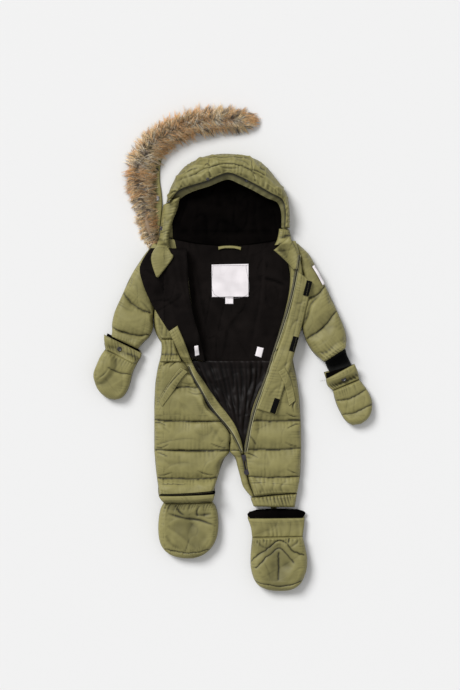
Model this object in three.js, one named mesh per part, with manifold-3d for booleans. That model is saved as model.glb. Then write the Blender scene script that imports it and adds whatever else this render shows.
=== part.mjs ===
// A toddler's one-piece snowsuit, laid open on its back with its hood, fur trim, mittens and booties.
// Millimetres, +Z up. The floor is z = 0, the hood is at +Y and the feet are at -Y.
// "left" is the -X side as the suit lies, and "right" is the +X side.
// Each cloth piece is laid in turn on those below it, as a maker stacks the panels of a flat garment:
// its underside follows what it lies on, and its top adds the padding's loft.
import * as THREE from "three";
import { mergeVertices } from "three/addons/utils/BufferGeometryUtils.js";
import Module from "manifold-3d";

const wasm = await Module();
wasm.setup();

// Lofts: how thick each kind of cloth is where it puffs most, and at its stitched rim.
const LOFT = {
  shell: 15, waist: 12, under: 11, sole: 12, hood: 8, hoodSide: 20, thumb: 9, mitten: 17, legCuff: 14,
  footLeft: 18, footRight: 22, cuff: 7, fleece: 3, satin: 2.4, strap: 2.4, loop: 3, tape: 1.4, label: 1,
  hooks: 1.6, flap: 4.5, furTape: 5, lapel: 8, rib: 12, chin: 7, welt: 4,
};
const RIM = { shell: 4, under: 4.5, hoodSide: 6, legCuff: 5, cuff: 3, lapel: 3, chin: 2.5, flap: 2, thin: 1.2 };
const SEAM_GAP = 0.5; // between two pieces that meet
const SEAT_GAP = 0.3; // under a hard piece on cloth
const WAVE = 1; // depth of the waves of gathered elastic
const ZIP_WIDE = 13; // width of a zip's tape
const CUFF_WALL = 0.14; // share of the knit cuff's width that its wall takes at each side
const SLIT = 1.6; // the flat hollow left inside a sleeve or cuff that is pressed flat
const QUILT_REACH = 0.9; // rows from a quilting line to the full loft
const QUILT_FLOOR = 0.42; // share of the loft that is left on a quilting line

const COLOUR = { olive: 0x8a8455, dark: 0x4c4a2e, fleece: 0x14110f, satin: 0x241f20, white: 0xe9e3e4, metal: 0x77727c,
  fur: 0xa98358, black: 0x0c0b0b };
const FINISH = {
  nylon: { color: COLOUR.olive, roughness: 0.62, metalness: 0 },
  facing: { color: COLOUR.dark, roughness: 0.7, metalness: 0 },
  fleece: { color: COLOUR.fleece, roughness: 0.95, metalness: 0 },
  satin: { color: COLOUR.satin, roughness: 0.35, metalness: 0 },
  rib: { color: COLOUR.fleece, roughness: 0.9, metalness: 0 },
  velcro: { color: COLOUR.black, roughness: 0.9, metalness: 0 },
  label: { color: COLOUR.white, roughness: 0.6, metalness: 0 },
  metal: { color: COLOUR.metal, roughness: 0.3, metalness: 1 },
  fur: { color: COLOUR.fur, roughness: 0.9, metalness: 0 },
};
const material = Object.fromEntries(
  Object.entries(FINISH).map(([name, look]) => [name, new THREE.MeshStandardMaterial(look)]),
);

// Turns rows of numbers into objects with the named columns.
const table = (columns, rows) => rows.map((row) =>
  Object.fromEntries(columns.split(" ").map((column, i) => [column, row[i]])));
const EDGES = "leftX leftY rightX rightY";

// Sections of each piece, a row for each, from its top to its bottom: the two ends of the section.
const BACK_BODICE = table(EDGES, [
  [-170, 270, 136, 270], [-180, 232, 150, 232], [-184, 195, 159, 195], [-192, 140, 169, 140],
  [-197, 90, 175, 90], [-196, 48, 171, 48], [-186, 22, 163, 22], [-178, 8, 157, 8], [-178, -14, 152, -14],
  [-181, -33, 151, -33],
]);
const BACK_LEG_LEFT = table(EDGES, [
  [-181, -33.6, -10, -33.6], [-191, -90, -10, -90], [-195, -140, -10, -140], [-195, -200, -10, -200],
  [-195, -250, -10, -252], [-194, -275, -20, -278], [-191, -310, -33, -312], [-187, -340, -42, -342],
  [-181, -374, -50, -376],
]);
const BACK_LEG_RIGHT = table(EDGES, [
  [-9.4, -33.6, 151, -33.6], [-9.4, -90, 162, -90], [-9.4, -140, 168, -140], [-9.4, -200, 170, -200],
  [-9.4, -252, 171, -250], [6, -278, 170, -280], [14, -304, 170, -306], [22, -330, 168, -330],
  [34, -360, 163, -352], [50, -378, 160, -368], [53, -396, 156, -397],
]);
const FLEECE_BACK = table(EDGES, [
  [-140, 262, 124, 262], [-134, 200, 140, 200], [-132, 140, 146, 140], [-126, 80, 140, 80],
  [-116, 30, 124, 30], [-106, -10, 106, -10], [-92, -42, 92, -42],
]);
const SATIN_LOWER = table(EDGES, [
  [-104, -43, 98, -43], [-100, -80, 84, -80], [-84, -120, 72, -120], [-60, -160, 62, -160],
  [-34, -200, 52, -200], [-14, -232, 44, -232], [2, -262, 38, -262],
]);
const FRONT_LEG_LEFT = table(EDGES, [
  [-181, -32, -132, -32], [-187, -57, -107, -57], [-192, -88, -89, -90], [-194, -118, -74, -118],
  [-195, -150, -60, -150], [-195, -186, -32, -182], [-195, -212, -9, -216], [-195, -237, -8, -240],
  [-195, -259, -8, -262], [-193, -281, -24, -284], [-191, -303, -31, -306], [-188, -326, -37, -327],
  [-183, -350, -44, -348], [-179, -374, -52, -374],
]);
const LEG_LEFT_QUILTS = [5, 8, 11];
const FRONT_GUSSET = table(EDGES, [
  [-8, -216, 3, -219], [-7, -238, 12, -240], [-6, -262, 22, -262], [6, -276, 26, -278],
  [12, -298, 31, -299], [19, -324, 37, -324], [27, -350, 43, -346], [46, -374, 55, -373],
]);
const FRONT_LEG_RIGHT = table(EDGES, [
  [108, -10, 152, -10], [96, -45, 151, -45], [82, -80, 160, -80], [67, -115, 165, -115],
  [53, -152, 168, -152], [45, -187, 170, -187], [38, -221, 171, -221], [32, -256, 171, -256],
  [34, -289, 170, -289], [41, -323, 168, -323], [49, -347, 165, -345], [57, -373, 161, -364],
]);
const LEG_RIGHT_QUILTS = [5, 7, 9];
const FRONT_BODICE_RIGHT = table(EDGES, [
  [132, 262, 162, 262], [142, 226, 172, 226], [148, 187, 178, 187], [146, 140, 182, 140],
  [136, 90, 182, 90], [122, 42, 174, 42], [107, -9, 154, -9],
]);
const FRONT_WAIST_LEFT = table(EDGES, [
  [-178, 18, -146, 18], [-177, 2, -141, 2], [-177, -14, -136, -14], [-180, -31, -128, -31],
]);
const FRONT_BODICE_LEFT = table(EDGES, [
  [-172, 258, -116, 252], [-182, 214, -113, 214], [-189, 168, -109, 166], [-195, 122, -104, 118],
  [-199, 78, -97, 74], [-194, 40, -90, 40], [-180, 19, -84, 19],
]);
const CHIN_LEFT = table(EDGES, [
  [-186, 252, -162, 250], [-200, 228, -152, 232], [-200, 205, -148, 218], [-189, 172, -184, 170],
]);
const CHIN_RIGHT = table(EDGES, [
  [102, 240, 140, 272], [118, 226, 152, 250], [136, 208, 162, 228], [150, 190, 162, 192],
]);
const LAPEL_LEFT = table(EDGES, [
  [-204, 244, -114, 244], [-229, 198, -110, 198], [-222, 156, -108, 150], [-205, 115, -102, 105],
  [-184, 78, -93, 65], [-162, 44, -82, 28], [-140, 14, -74, -8], [-120, -24, -68, -38],
]);
const PLACKET_LEFT = table(EDGES, [
  [-156, 37, -136, 52], [-139, 2, -120, 15], [-126, -29, -106, -24], [-107, -55, -91, -58],
  [-90, -87, -72, -85], [-74, -114, -54, -112], [-58, -144, -34, -140], [-37, -172, -12, -168],
  [-15, -198, 6, -194], [2, -222, 18, -222], [14, -247, 25, -248], [24, -266, 28, -267],
]);
const STORM_FLAP = table(EDGES, [
  [168, 186, 198, 158], [160, 145, 192, 134], [150, 100, 183, 92], [138, 53, 171, 45], [124, 10, 160, 4],
  [108, -30, 149, -34], [93, -72, 136, -76], [78, -117, 122, -121], [64, -155, 109, -170],
]);
const ZIP_LINE_LEFT = table("x y", [
  [-110, -50], [-96, -80], [-80, -107], [-63, -138], [-44, -165], [-22, -190], [-3, -214], [11, -240],
  [21, -262],
]);
const ZIP_LINE_RIGHT = table("x y", [
  [164, 226], [158, 187], [149, 140], [136, 90], [121, 42], [104, -10], [88, -62], [71, -108], [56, -150],
  [45, -190], [38, -228], [32, -262],
]);
const POCKET_LEFT = table(EDGES, [
  [-128, -51, -110, -63], [-145, -70, -128, -83], [-163, -98, -146, -111], [-184, -131, -174, -149],
]);
const POCKET_RIGHT = table(EDGES, [
  [112, -63, 129, -52], [125, -87, 142, -76], [133, -115, 151, -106], [140, -148, 156, -134],
]);
const SLEEVE_LEFT = table(EDGES, [
  [-196, 258, -176, 248], [-222, 225, -184, 195], [-252, 178, -192, 128], [-276, 126, -198, 74],
  [-293, 88, -198, 46], [-300, 58, -207, 25], [-300, 38, -220, 12], [-302, 24, -236, -6],
]);
const SLEEVE_LEFT_QUILTS = [3, 5];
const SLEEVE_RIGHT = table(EDGES, [
  [148, 262, 160, 258], [160, 210, 190, 230], [171, 157, 212, 190], [176, 103, 235, 143],
  [172, 58, 250, 112], [182, 18, 262, 85], [195, -6, 277, 50], [208, -22, 284, 20], [228, -38, 281, -4],
]);
const SLEEVE_RIGHT_QUILTS = [3, 5];
const RIB_CUFF = table(EDGES, [
  [227, -30, 278, 4], [236, -52, 287, -24], [241, -62, 295, -41], [250, -84, 303, -63],
]);
const MITTEN_LEFT = table(EDGES, [
  [-310, 32, -230, -10], [-320, 10, -228, -24], [-318, -8, -238, -42], [-329, -25, -246, -58],
  [-338, -45, -251, -73], [-346, -68, -254, -87], [-343, -90, -259, -103], [-335, -108, -267, -118],
  [-322, -122, -278, -129], [-308, -131, -294, -133],
]);
const MITTEN_LEFT_HAND = MITTEN_LEFT.slice(2);
const MITTEN_LEFT_CUFF = table(EDGES, [
  [-320, 30, -226, -16], [-319, 10, -230, -30], [-312, -10, -246, -44],
]);
const MITTEN_LEFT_THUMB = table(EDGES, [
  [-322, -15, -306, -23], [-332, -35, -302, -42], [-342, -55, -309, -58], [-345, -69, -320, -70],
  [-341, -79, -331, -80],
]);
const MITTEN_RIGHT = table(EDGES, [
  [228, -64, 302, -44], [238, -92, 308, -64], [250, -110, 316, -83], [255, -130, 330, -100],
  [262, -150, 342, -120], [270, -166, 348, -141], [278, -180, 346, -163], [288, -190, 337, -180],
  [300, -196, 320, -193],
]);
const MITTEN_RIGHT_HAND = MITTEN_RIGHT.slice(2);
const MITTEN_RIGHT_CUFF = table(EDGES, [
  [232, -81, 303, -43], [237, -98, 312, -63], [251, -110, 316, -82],
]);
const BOOT_LEFT = table(EDGES, [
  [-186, -352, -45, -346], [-184, -372, -44, -366], [-171, -388, -50, -386], [-179, -404, -41, -400],
  [-184, -430, -36, -422], [-185, -460, -35, -450], [-181, -487, -40, -478], [-170, -507, -53, -502],
  [-150, -521, -73, -519], [-123, -528, -98, -528],
]);
const BOOT_LEFT_FOOT = BOOT_LEFT.slice(2);
const BOOT_LEFT_CUFF = table(EDGES, [
  [-185, -361, -43, -352], [-180, -375, -44, -368], [-170, -390, -50, -388],
]);
const BOOT_RIGHT = table(EDGES, [
  [42, -412, 176, -410], [38, -428, 180, -426], [46, -450, 178, -450], [49, -475, 175, -473],
  [47, -498, 180, -495], [45, -528, 186, -525], [46, -553, 185, -553], [53, -578, 177, -578],
  [65, -595, 165, -595], [85, -605, 148, -605], [106, -609, 130, -609],
]);
const BOOT_RIGHT_FOOT = BOOT_RIGHT.slice(3);
const BOOT_RIGHT_CUFF = table(EDGES, [
  [38, -428, 180, -427], [46, -452, 178, -451], [49, -476, 175, -474],
]);
const LEG_CUFF_RIGHT = table(EDGES, [[45, -376, 161, -365], [48, -387, 158, -383], [53, -399, 155, -401]]);
const BOOT_STRAP = table(EDGES, [[96, -384, 111, -384], [96, -408, 110, -408], [97, -434, 110, -434]]);
const HOOD_BACK = table(EDGES, [
  [-60, 474, 40, 474], [-112, 448, 84, 448], [-146, 400, 120, 400], [-160, 350, 136, 350],
  [-166, 305, 138, 305], [-168, 270.6, 138, 270.6],
]);
const HOOD_LINING = table(EDGES, [
  [-52, 466, 32, 466], [-100, 436, 74, 436], [-132, 395, 106, 395], [-146, 350, 124, 350],
  [-150, 305, 124, 305], [-148, 268, 124, 268],
]);
const HOOD_SIDE_LEFT = table(EDGES, [
  [-172, 356, -134, 362], [-176, 335, -138, 340], [-179, 310, -148, 315], [-181, 285, -156, 290],
  [-184, 262, -162, 262],
]);
const HOOD_SIDE_RIGHT = table(EDGES, [
  [116, 294, 141, 292], [114, 280, 145, 278], [110, 264, 147, 264], [104, 252, 146, 256],
]);
// The hood's rolled front, from its left end over the top to its right end: its outer foot, its free front edge, the
// hem of its facing inside, and how high the front edge stands.
const HOOD_ROLL = table("footX footY edgeX edgeY hemX hemY height", [
  [-166, 357, -152, 366, -138, 362, 34], [-152, 402, -132, 388, -116, 378, 44],
  [-124, 444, -100, 399, -88, 389, 54], [-85, 468, -62, 410, -57, 398, 61],
  [-43, 479, -30, 424, -28, 410, 64], [-8, 481, -8, 429, -8, 414, 65], [35, 475, 22, 418, 18, 403, 64],
  [72, 459, 60, 399, 50, 388, 60], [106, 422, 95, 380, 84, 370, 54], [134, 382, 124, 364, 112, 358, 46],
  [142, 340, 132, 335, 122, 333, 38], [142, 296, 131, 297, 123, 296, 30],
]);
const FUR_LINE = table("x y reach height", [
  [-197, 256, 9, 14], [-207, 285, 16, 22], [-215, 320, 19, 27], [-220, 355, 21, 30], [-226, 386, 27, 33],
  [-231, 416, 30, 35], [-228, 446, 31, 36], [-217, 473, 32, 36], [-200, 499, 33, 36], [-176, 520, 33, 36],
  [-147, 538, 33, 36], [-113, 551, 33, 35], [-78, 559, 32, 34], [-44, 563, 30, 32], [-10, 565, 28, 30],
  [21, 564, 25, 26], [44, 562, 20, 18],
]);
const FUR_TAPE = table(EDGES, [
  [-196, 274, -185, 272], [-201, 318, -178, 318], [-202, 354, -175, 354], [-201, 386, -177, 386],
  [-204, 416, -181, 416], [-200, 446, -180, 448], [-190, 466, -176, 470],
]);
// The care label, and the small size tab that hangs from its lower edge.
const CARE_LABEL = table(EDGES, [
  [-52, 204, 40, 206], [-52, 164, 40, 165], [-51, 123, 40, 124], [-18, 122.4, 2, 122.4],
  [-18, 106, 2, 106],
]);
const TAG_LEFT = table(EDGES, [[-95, 1, -85, 3], [-93, -24, -82, -21]]);
const TAG_RIGHT = table(EDGES, [[62, 0, 78, -4], [56, -23, 72, -28]]);
const HANG_LOOP = table(EDGES, [[-36, 249, 22, 248], [-35, 240, 21, 239]]);
const VELCRO = table("name x y turn", [
  ["velcro_top", 186, 144, -15], ["velcro_middle", 152, 6, -17], ["velcro_bottom", 105, -147, -17],
]);
const VELCRO_SIZE = { wide: 14, long: 38 };

const suit = new THREE.Group();

// How high the cloth laid so far reaches, in square cells of the floor, with the corner of the first cell.
const CELL = 1, CORNER = { x: -400, y: -660 }, ACROSS = 780, ALONG = 1300;
const pile = new Float32Array(ACROSS * ALONG);
const cellOf = (x, y) => [Math.floor((x - CORNER.x) / CELL), Math.floor((y - CORNER.y) / CELL)];

// The highest cloth in the cell at a point.
function pileAt(x, y) {
  const [i, j] = cellOf(x, y);
  return pile[j * ACROSS + i];
}

// The highest cloth within a distance of a point.
function pileNear(x, y, reach) {
  let top = 0;
  for (let dy = -reach; dy <= reach; dy += CELL) {
    for (let dx = -reach; dx <= reach; dx += CELL) {
      if (Math.hypot(dx, dy) <= reach) top = Math.max(top, pileAt(x + dx, y + dy));
    }
  }
  return top;
}

// Places spread over a triangle, as shares of its corners, no further apart than a spacing.
function spots([a, b, c], spacing) {
  const side = Math.max(Math.hypot(a.x - b.x, a.y - b.y), Math.hypot(b.x - c.x, b.y - c.y),
    Math.hypot(c.x - a.x, c.y - a.y));
  const n = Math.max(1, Math.ceil(side / spacing)), list = [];
  for (let i = 0; i <= n; i++) for (let j = 0; j <= n - i; j++) list.push([i / n, j / n, (n - i - j) / n]);
  return list;
}

// Adds the top of a piece to the pile. Each place also fills the cells round its own.
function heap(triangles) {
  for (const [a, b, c] of triangles) {
    for (const [s, t, r] of spots([a, b, c], 1.2)) {
      const [i, j] = cellOf(s * a.x + t * b.x + r * c.x, s * a.y + t * b.y + r * c.y);
      const z = s * a.z + t * b.z + r * c.z;
      for (let dj = -1; dj <= 1; dj++) {
        for (let di = -1; di <= 1; di++) {
          const cell = (j + dj) * ACROSS + i + di;
          pile[cell] = Math.max(pile[cell], z);
        }
      }
    }
  }
}

// A smooth value of one column between the rows, t counting rows (Catmull-Rom).
function column(rows, key, t) {
  const i = Math.min(Math.max(Math.floor(t), 0), rows.length - 2);
  const at = (k) => rows[Math.min(Math.max(k, 0), rows.length - 1)][key];
  const [a, b, c, d] = [at(i - 1), at(i), at(i + 1), at(i + 2)];
  const s = t - i;
  return b + 0.5 * s * (c - a + s * (2 * a - 5 * b + 4 * c - d + s * (3 * (b - c) + d - a)));
}

// A straight mix of two numbers.
const mix = (a, b, s) => a + (b - a) * s;

// The closed mesh of rings of points: one ring after another, all of one length, with a cap at each end.
function ringsToGeometry(rings, hollow = null) {
  const count = rings[0].length;
  const points = [...rings.flat(), ...(hollow ? hollow.flat() : [])];
  const faces = [];
  const quad = (a, b, c, d) => faces.push(a, c, b, a, d, c);
  const start = hollow ? rings.length * count : 0;
  for (let r = 0; r < rings.length - 1; r++) {
    for (let k = 0; k < count; k++) {
      const [a, b] = [r * count + k, r * count + ((k + 1) % count)];
      quad(a, b, b + count, a + count);
      if (hollow) quad(start + a, start + a + count, start + b + count, start + b);
    }
  }
  const last = (rings.length - 1) * count;
  if (hollow) {
    for (let k = 0; k < count; k++) {
      const n = (k + 1) % count;
      quad(k, start + k, start + n, n);
      quad(last + k, last + n, start + last + n, start + last + k);
    }
  } else {
    // Each ring runs along its top and back along its underside, so a cap is a strip of quads between the two.
    const half = count / 2;
    for (let k = 0; k < half - 1; k++) {
      const [under, next] = [count - 1 - k, count - 2 - k];
      quad(k, under, next, k + 1);
      quad(last + k, last + k + 1, last + next, last + under);
    }
  }
  const geometry = new THREE.BufferGeometry();
  geometry.setAttribute("position", new THREE.Float32BufferAttribute(points.flatMap((p) => [p.x, p.y, p.z]), 3));
  geometry.setIndex(volume(points, faces) < 0 ? faces.reverse() : faces);
  geometry.computeVertexNormals();
  return geometry;
}

// Six times the signed volume of a closed mesh: it is below 0 where the faces point inwards.
function volume(points, faces) {
  let sum = 0;
  for (let i = 0; i < faces.length; i += 3) {
    const [a, b, c] = [points[faces[i]], points[faces[i + 1]], points[faces[i + 2]]];
    sum += a.dot(new THREE.Vector3().crossVectors(b, c));
  }
  return sum;
}

function add(name, geometry, look) {
  const mesh = new THREE.Mesh(geometry, material[look]);
  mesh.name = name;
  suit.add(mesh);
  return mesh;
}

// Share of the loft at a place t along the rows: it drops to QUILT_FLOOR on each quilting line.
function quilting(t, quilts) {
  if (!quilts.length) return 1;
  const away = Math.min(...quilts.map((q) => Math.abs(t - q)));
  return mix(QUILT_FLOOR, 1, Math.sqrt(Math.min(1, away / QUILT_REACH)));
}

// The triangles of a grid of points.
function facesOf(grid) {
  const list = [];
  for (let j = 0; j < grid.length - 1; j++) {
    for (let i = 0; i < grid[j].length - 1; i++) {
      const [a, b, c, d] = [grid[j][i], grid[j][i + 1], grid[j + 1][i + 1], grid[j + 1][i]];
      list.push([a, b, c], [a, c, d]);
    }
  }
  return list;
}

// How a piece settles: slack over its highest support, most passes, the rise that counts as settled, and how far each
// pass pulls a corner to the mean of its neighbours.
const DRAPE = { slack: 0.05, passes: 15, settled: 0.02, pull: 0.5 };

// The height of a piece's underside at each corner of its plan. Each corner drops onto the pile, stiff cloth then
// bridges the hollows, and last each triangle is pushed up until it clears the pile all over.
function drape(plan, stiff) {
  const clearance = (p) => (p > 0 ? p + SEAM_GAP : 0);
  const floor = plan.map((section) => section.map((p) => clearance(pileAt(p.x, p.y))));
  const low = floor.map((row) => [...row]);
  const cap = floor.map((row) => [...row]);
  const triangles = [];
  for (let j = 0; j < low.length - 1; j++) {
    for (let i = 0; i < low[j].length - 1; i++) {
      triangles.push([[j, i], [j, i + 1], [j + 1, i]], [[j, i + 1], [j + 1, i + 1], [j + 1, i]]);
    }
  }
  // No corner needs to stand higher than the highest cloth under the triangles that meet there.
  for (const corners of triangles) {
    const [a, b, c] = corners.map(([j, i]) => plan[j][i]);
    const top = Math.max(...spots([a, b, c], 1).map(([s, t, r]) =>
      clearance(pileAt(s * a.x + t * b.x + r * c.x, s * a.y + t * b.y + r * c.y))));
    for (const [j, i] of corners) cap[j][i] = Math.max(cap[j][i], top + DRAPE.slack);
  }
  for (let pass = 0; pass < stiff; pass++) {
    for (let j = 0; j < low.length; j++) {
      for (let i = 0; i < low[j].length; i++) {
        const near = [low[j - 1]?.[i], low[j + 1]?.[i], low[j][i - 1], low[j][i + 1]];
        const known = near.filter((v) => v !== undefined);
        const mean = known.reduce((sum, v) => sum + v, 0) / known.length;
        low[j][i] = Math.max(floor[j][i], mix(low[j][i], mean, DRAPE.pull));
      }
    }
  }
  for (let pass = 0; pass < DRAPE.passes; pass++) {
    const worst = Math.max(...triangles.map((corners) => pushUp(corners, plan, low, cap)));
    if (worst < DRAPE.settled) break;
  }
  // What is still short rises as a whole.
  for (const corners of triangles) {
    const rest = pushUp(corners, plan, low, low);
    for (const [j, i] of corners) low[j][i] += rest;
  }
  return low;
}

// Raises the corners of one triangle until it clears the pile, and returns how much it had to rise.
function pushUp(corners, plan, low, cap) {
  const [a, b, c] = corners.map(([j, i]) => plan[j][i]);
  let worst = 0;
  for (const shares of spots([a, b, c], 1)) {
    const [s, t, r] = shares;
    const need = pileAt(s * a.x + t * b.x + r * c.x, s * a.y + t * b.y + r * c.y);
    if (need <= 0) continue;
    const z = shares.reduce((sum, share, k) => sum + share * low[corners[k][0]][corners[k][1]], 0);
    const short = need + SEAM_GAP - z;
    if (short <= 0) continue;
    worst = Math.max(worst, short);
    const power = s * s + t * t + r * r;
    shares.forEach((share, k) => {
      const [j, i] = corners[k];
      low[j][i] = Math.max(low[j][i], Math.min(cap[j][i], low[j][i] + (short * share) / power));
    });
  }
  return worst;
}

// Lays one padded piece. Sections come from its rows; across a section the loft is a flattened arch, and along the
// rows it dips on the quilting lines and at a rounded end. gathers adds folds that run along the piece.
function lay(name, look, rows, options) {
  const { loft, rim = RIM.shell, across = 8, perRow = 2, quilts = [], round = [0, 0], arch = 3, hollow = 0,
    gathers = null, stiff = 4, linear = false, onFloor = false } = options;
  const last = rows.length - 1, stations = last * perRow;
  const at = linear
    ? (key, t) => {
      const i = Math.min(Math.floor(t), last - 1);
      return mix(rows[i][key], rows[i + 1][key], t - i);
    }
    : (key, t) => column(rows, key, t);
  const plan = [];
  for (let j = 0; j <= stations; j++) {
    const t = j / perRow, section = [];
    for (let i = 0; i <= across; i++) {
      const u = (1 - Math.cos((Math.PI * i) / across)) / 2;
      const x = mix(at("leftX", t), at("rightX", t), u), y = mix(at("leftY", t), at("rightY", t), u);
      section.push({ x, y, u, t });
    }
    plan.push(section);
  }
  const low = onFloor ? plan.map((section) => section.map(() => 0)) : drape(plan, stiff);
  const high = plan.map((section, j) => section.map((p, i) => {
    const side = Math.sqrt(Math.max(0, 1 - Math.abs(2 * p.u - 1) ** arch));
    const startEnd = round[0] ? Math.sqrt(1 - (1 - Math.min(1, p.t / round[0])) ** 2) : 1;
    const finishEnd = round[1] ? Math.sqrt(1 - (1 - Math.min(1, (last - p.t) / round[1])) ** 2) : 1;
    const most = typeof loft === "function" ? loft(p.t, p.u) : loft;
    const puff = Math.max(0, most - rim) * side * startEnd * finishEnd * quilting(p.t, quilts);
    const fold = gathers ? gathers(p) * side : 0;
    return low[j][i] + rim + puff + fold;
  }));
  const rings = plan.map((section, j) => [
    ...section.map((p, i) => new THREE.Vector3(p.x, p.y, high[j][i])),
    ...section.map((p, i) => new THREE.Vector3(p.x, p.y, low[j][i])).reverse(),
  ]);
  // A sleeve's hollow is a flat slit half way up, as wide as the piece less its wall.
  const slit = hollow ? plan.map((section, j) => {
    const inside = section.map((p) => ({ ...p, u: mix(hollow, 1 - hollow, p.u) }));
    const points = (side) => inside.map((p, i) => {
      const middle = (high[j][i] + low[j][i]) / 2;
      const x = mix(section[0].x, section[across].x, p.u), y = mix(section[0].y, section[across].y, p.u);
      return new THREE.Vector3(x, y, middle + (side * SLIT) / 2);
    });
    return [...points(1), ...points(-1).reverse()];
  }) : null;
  heap(facesOf(rings.map((ring) => ring.slice(0, across + 1))));
  return add(name, ringsToGeometry(rings, slit), look);
}

// Soft waves across a piece, for gathered elastic: their number and depth.
const waves = (number, depth) => (p) => depth * Math.sin(p.u * number * Math.PI * 2);

// A strip of even width that follows a line of points, laid flat.
function ribbon(line, wide) {
  return line.map((p, i) => {
    const before = line[Math.max(0, i - 1)], after = line[Math.min(line.length - 1, i + 1)];
    const along = new THREE.Vector2(after.x - before.x, after.y - before.y).normalize();
    const side = { x: along.y * wide * 0.5, y: -along.x * wide * 0.5 };
    return { leftX: p.x + side.x, leftY: p.y + side.y, rightX: p.x - side.x, rightY: p.y - side.y };
  }).map(({ leftX, leftY, rightX, rightY }) => (leftX < rightX
    ? { leftX, leftY, rightX, rightY } : { leftX: rightX, leftY: rightY, rightX: leftX, rightY: leftY }));
}

// Seats a small solid on the pile under it.
function seat(name, geometry, look, x, y, reach) {
  geometry.translate(x, y, pileNear(x, y, reach) + SEAT_GAP);
  geometry.computeBoundingBox();
  const { min, max } = geometry.boundingBox;
  const corner = (cx, cy) => new THREE.Vector3(cx, cy, max.z);
  heap(facesOf([[corner(min.x, min.y), corner(max.x, min.y)], [corner(min.x, max.y), corner(max.x, max.y)]]));
  return add(name, geometry, look);
}

// The back of the suit, flat on the floor, with the soles and palms that its legs and sleeves lie on.
function layBack() {
  const under = { loft: LOFT.under, rim: RIM.under, perRow: 1, across: 6 };
  lay("bootie_sole_left", "nylon", BOOT_LEFT, { ...under, loft: LOFT.sole });
  lay("bootie_sole_right", "nylon", BOOT_RIGHT, { ...under, loft: LOFT.sole });
  lay("mitten_palm_left", "nylon", MITTEN_LEFT, { ...under });
  lay("mitten_palm_right", "nylon", MITTEN_RIGHT, { ...under });
  lay("back_trouser_left", "nylon", BACK_LEG_LEFT, under);
  lay("back_trouser_right", "nylon", BACK_LEG_RIGHT, { ...under, onFloor: true });
  lay("back_bodice", "nylon", BACK_BODICE, { ...under, onFloor: true });
  lay("hood_back", "nylon", HOOD_BACK, { ...under, loft: LOFT.hood, onFloor: true });
  lay("sleeve_back_left", "nylon", SLEEVE_LEFT, under);
  lay("sleeve_back_right", "nylon", SLEEVE_RIGHT, under);
}

// The lining that shows in the open front, and the labels sewn to it.
function layLining() {
  lay("lining_fleece", "fleece", FLEECE_BACK, { loft: LOFT.fleece, rim: RIM.thin, perRow: 1, across: 8 });
  lay("lining_satin", "satin", SATIN_LOWER, { loft: LOFT.satin, rim: RIM.thin, perRow: 1, across: 6 });
}

// The hood's rolled front: a wall that stands on the back's edge, bulges up and turns over to a free front edge.
const ROLL = { wall: 7, turn: (115 * Math.PI) / 180, steps: 8, perRow: 2, foot: 3 };
function rollPoint(t, a, wall, base) {
  const at = (key) => column(HOOD_ROLL, key, t);
  const foot = new THREE.Vector3(at("footX"), at("footY"), 0);
  const edge = new THREE.Vector3(at("edgeX"), at("edgeY"), 0);
  const start = wall / foot.distanceTo(edge);
  const share = mix(start, 1, (1 - Math.cos(a)) / (1 - Math.cos(ROLL.turn)));
  const point = foot.clone().lerp(edge, share);
  return point.setZ(base + (at("height") - wall) * Math.sin(a));
}

function rollHood() {
  const stations = (HOOD_ROLL.length - 1) * ROLL.perRow, rings = [], facing = [];
  for (let j = 0; j <= stations; j++) {
    const t = j / ROLL.perRow;
    const base = Math.max(...[0, ROLL.wall].map((wall) => {
      const foot = rollPoint(t, 0, wall, 0);
      return pileNear(foot.x, foot.y, ROLL.foot);
    })) + SEAM_GAP;
    const path = (wall) => Array.from({ length: ROLL.steps + 1 }, (_, k) =>
      rollPoint(t, (ROLL.turn * k) / ROLL.steps, wall, base));
    rings.push([...path(0), ...path(ROLL.wall).reverse()]);
    facing.push(facingSection(t, base));
  }
  heap(facesOf(rings.map((ring) => ring.slice(0, ROLL.steps + 1))));
  heap(facesOf(facing.map((section) => section.slice(0, 3))));
  add("hood_crown", ringsToGeometry(rings), "nylon");
  add("hood_facing", ringsToGeometry(facing), "facing");
}

// The dark facing turned in under the hood's front edge: it starts under the roll and slopes down into the hood.
const FACING = { thick: 2.5, under: 0.86, drop: 9 };
function facingSection(t, base) {
  const at = (key) => column(HOOD_ROLL, key, t);
  const foot = new THREE.Vector3(at("footX"), at("footY"), 0);
  const edge = new THREE.Vector3(at("edgeX"), at("edgeY"), 0);
  const top = base + (at("height") - ROLL.wall) * Math.sin(ROLL.turn) - SEAM_GAP;
  const start = foot.lerp(edge, FACING.under).setZ(top);
  const middle = edge.clone().setZ(top), end = new THREE.Vector3(at("hemX"), at("hemY"), top - FACING.drop);
  const line = [start, middle, end];
  return [...line, ...line.map((p) => p.clone().setZ(p.z - FACING.thick)).reverse()];
}

function layHood() {
  lay("hood_lining", "fleece", HOOD_LINING, { loft: LOFT.fleece, rim: RIM.thin, perRow: 1, across: 8 });
  rollHood();
}

function layHoodSides() {
  const side = { loft: LOFT.hoodSide, rim: RIM.hoodSide, across: 6, perRow: 1, arch: 2, round: [0.8, 0] };
  lay("hood_side_left", "nylon", HOOD_SIDE_LEFT, side);
  lay("hood_side_right", "nylon", HOOD_SIDE_RIGHT, side);
}

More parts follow.
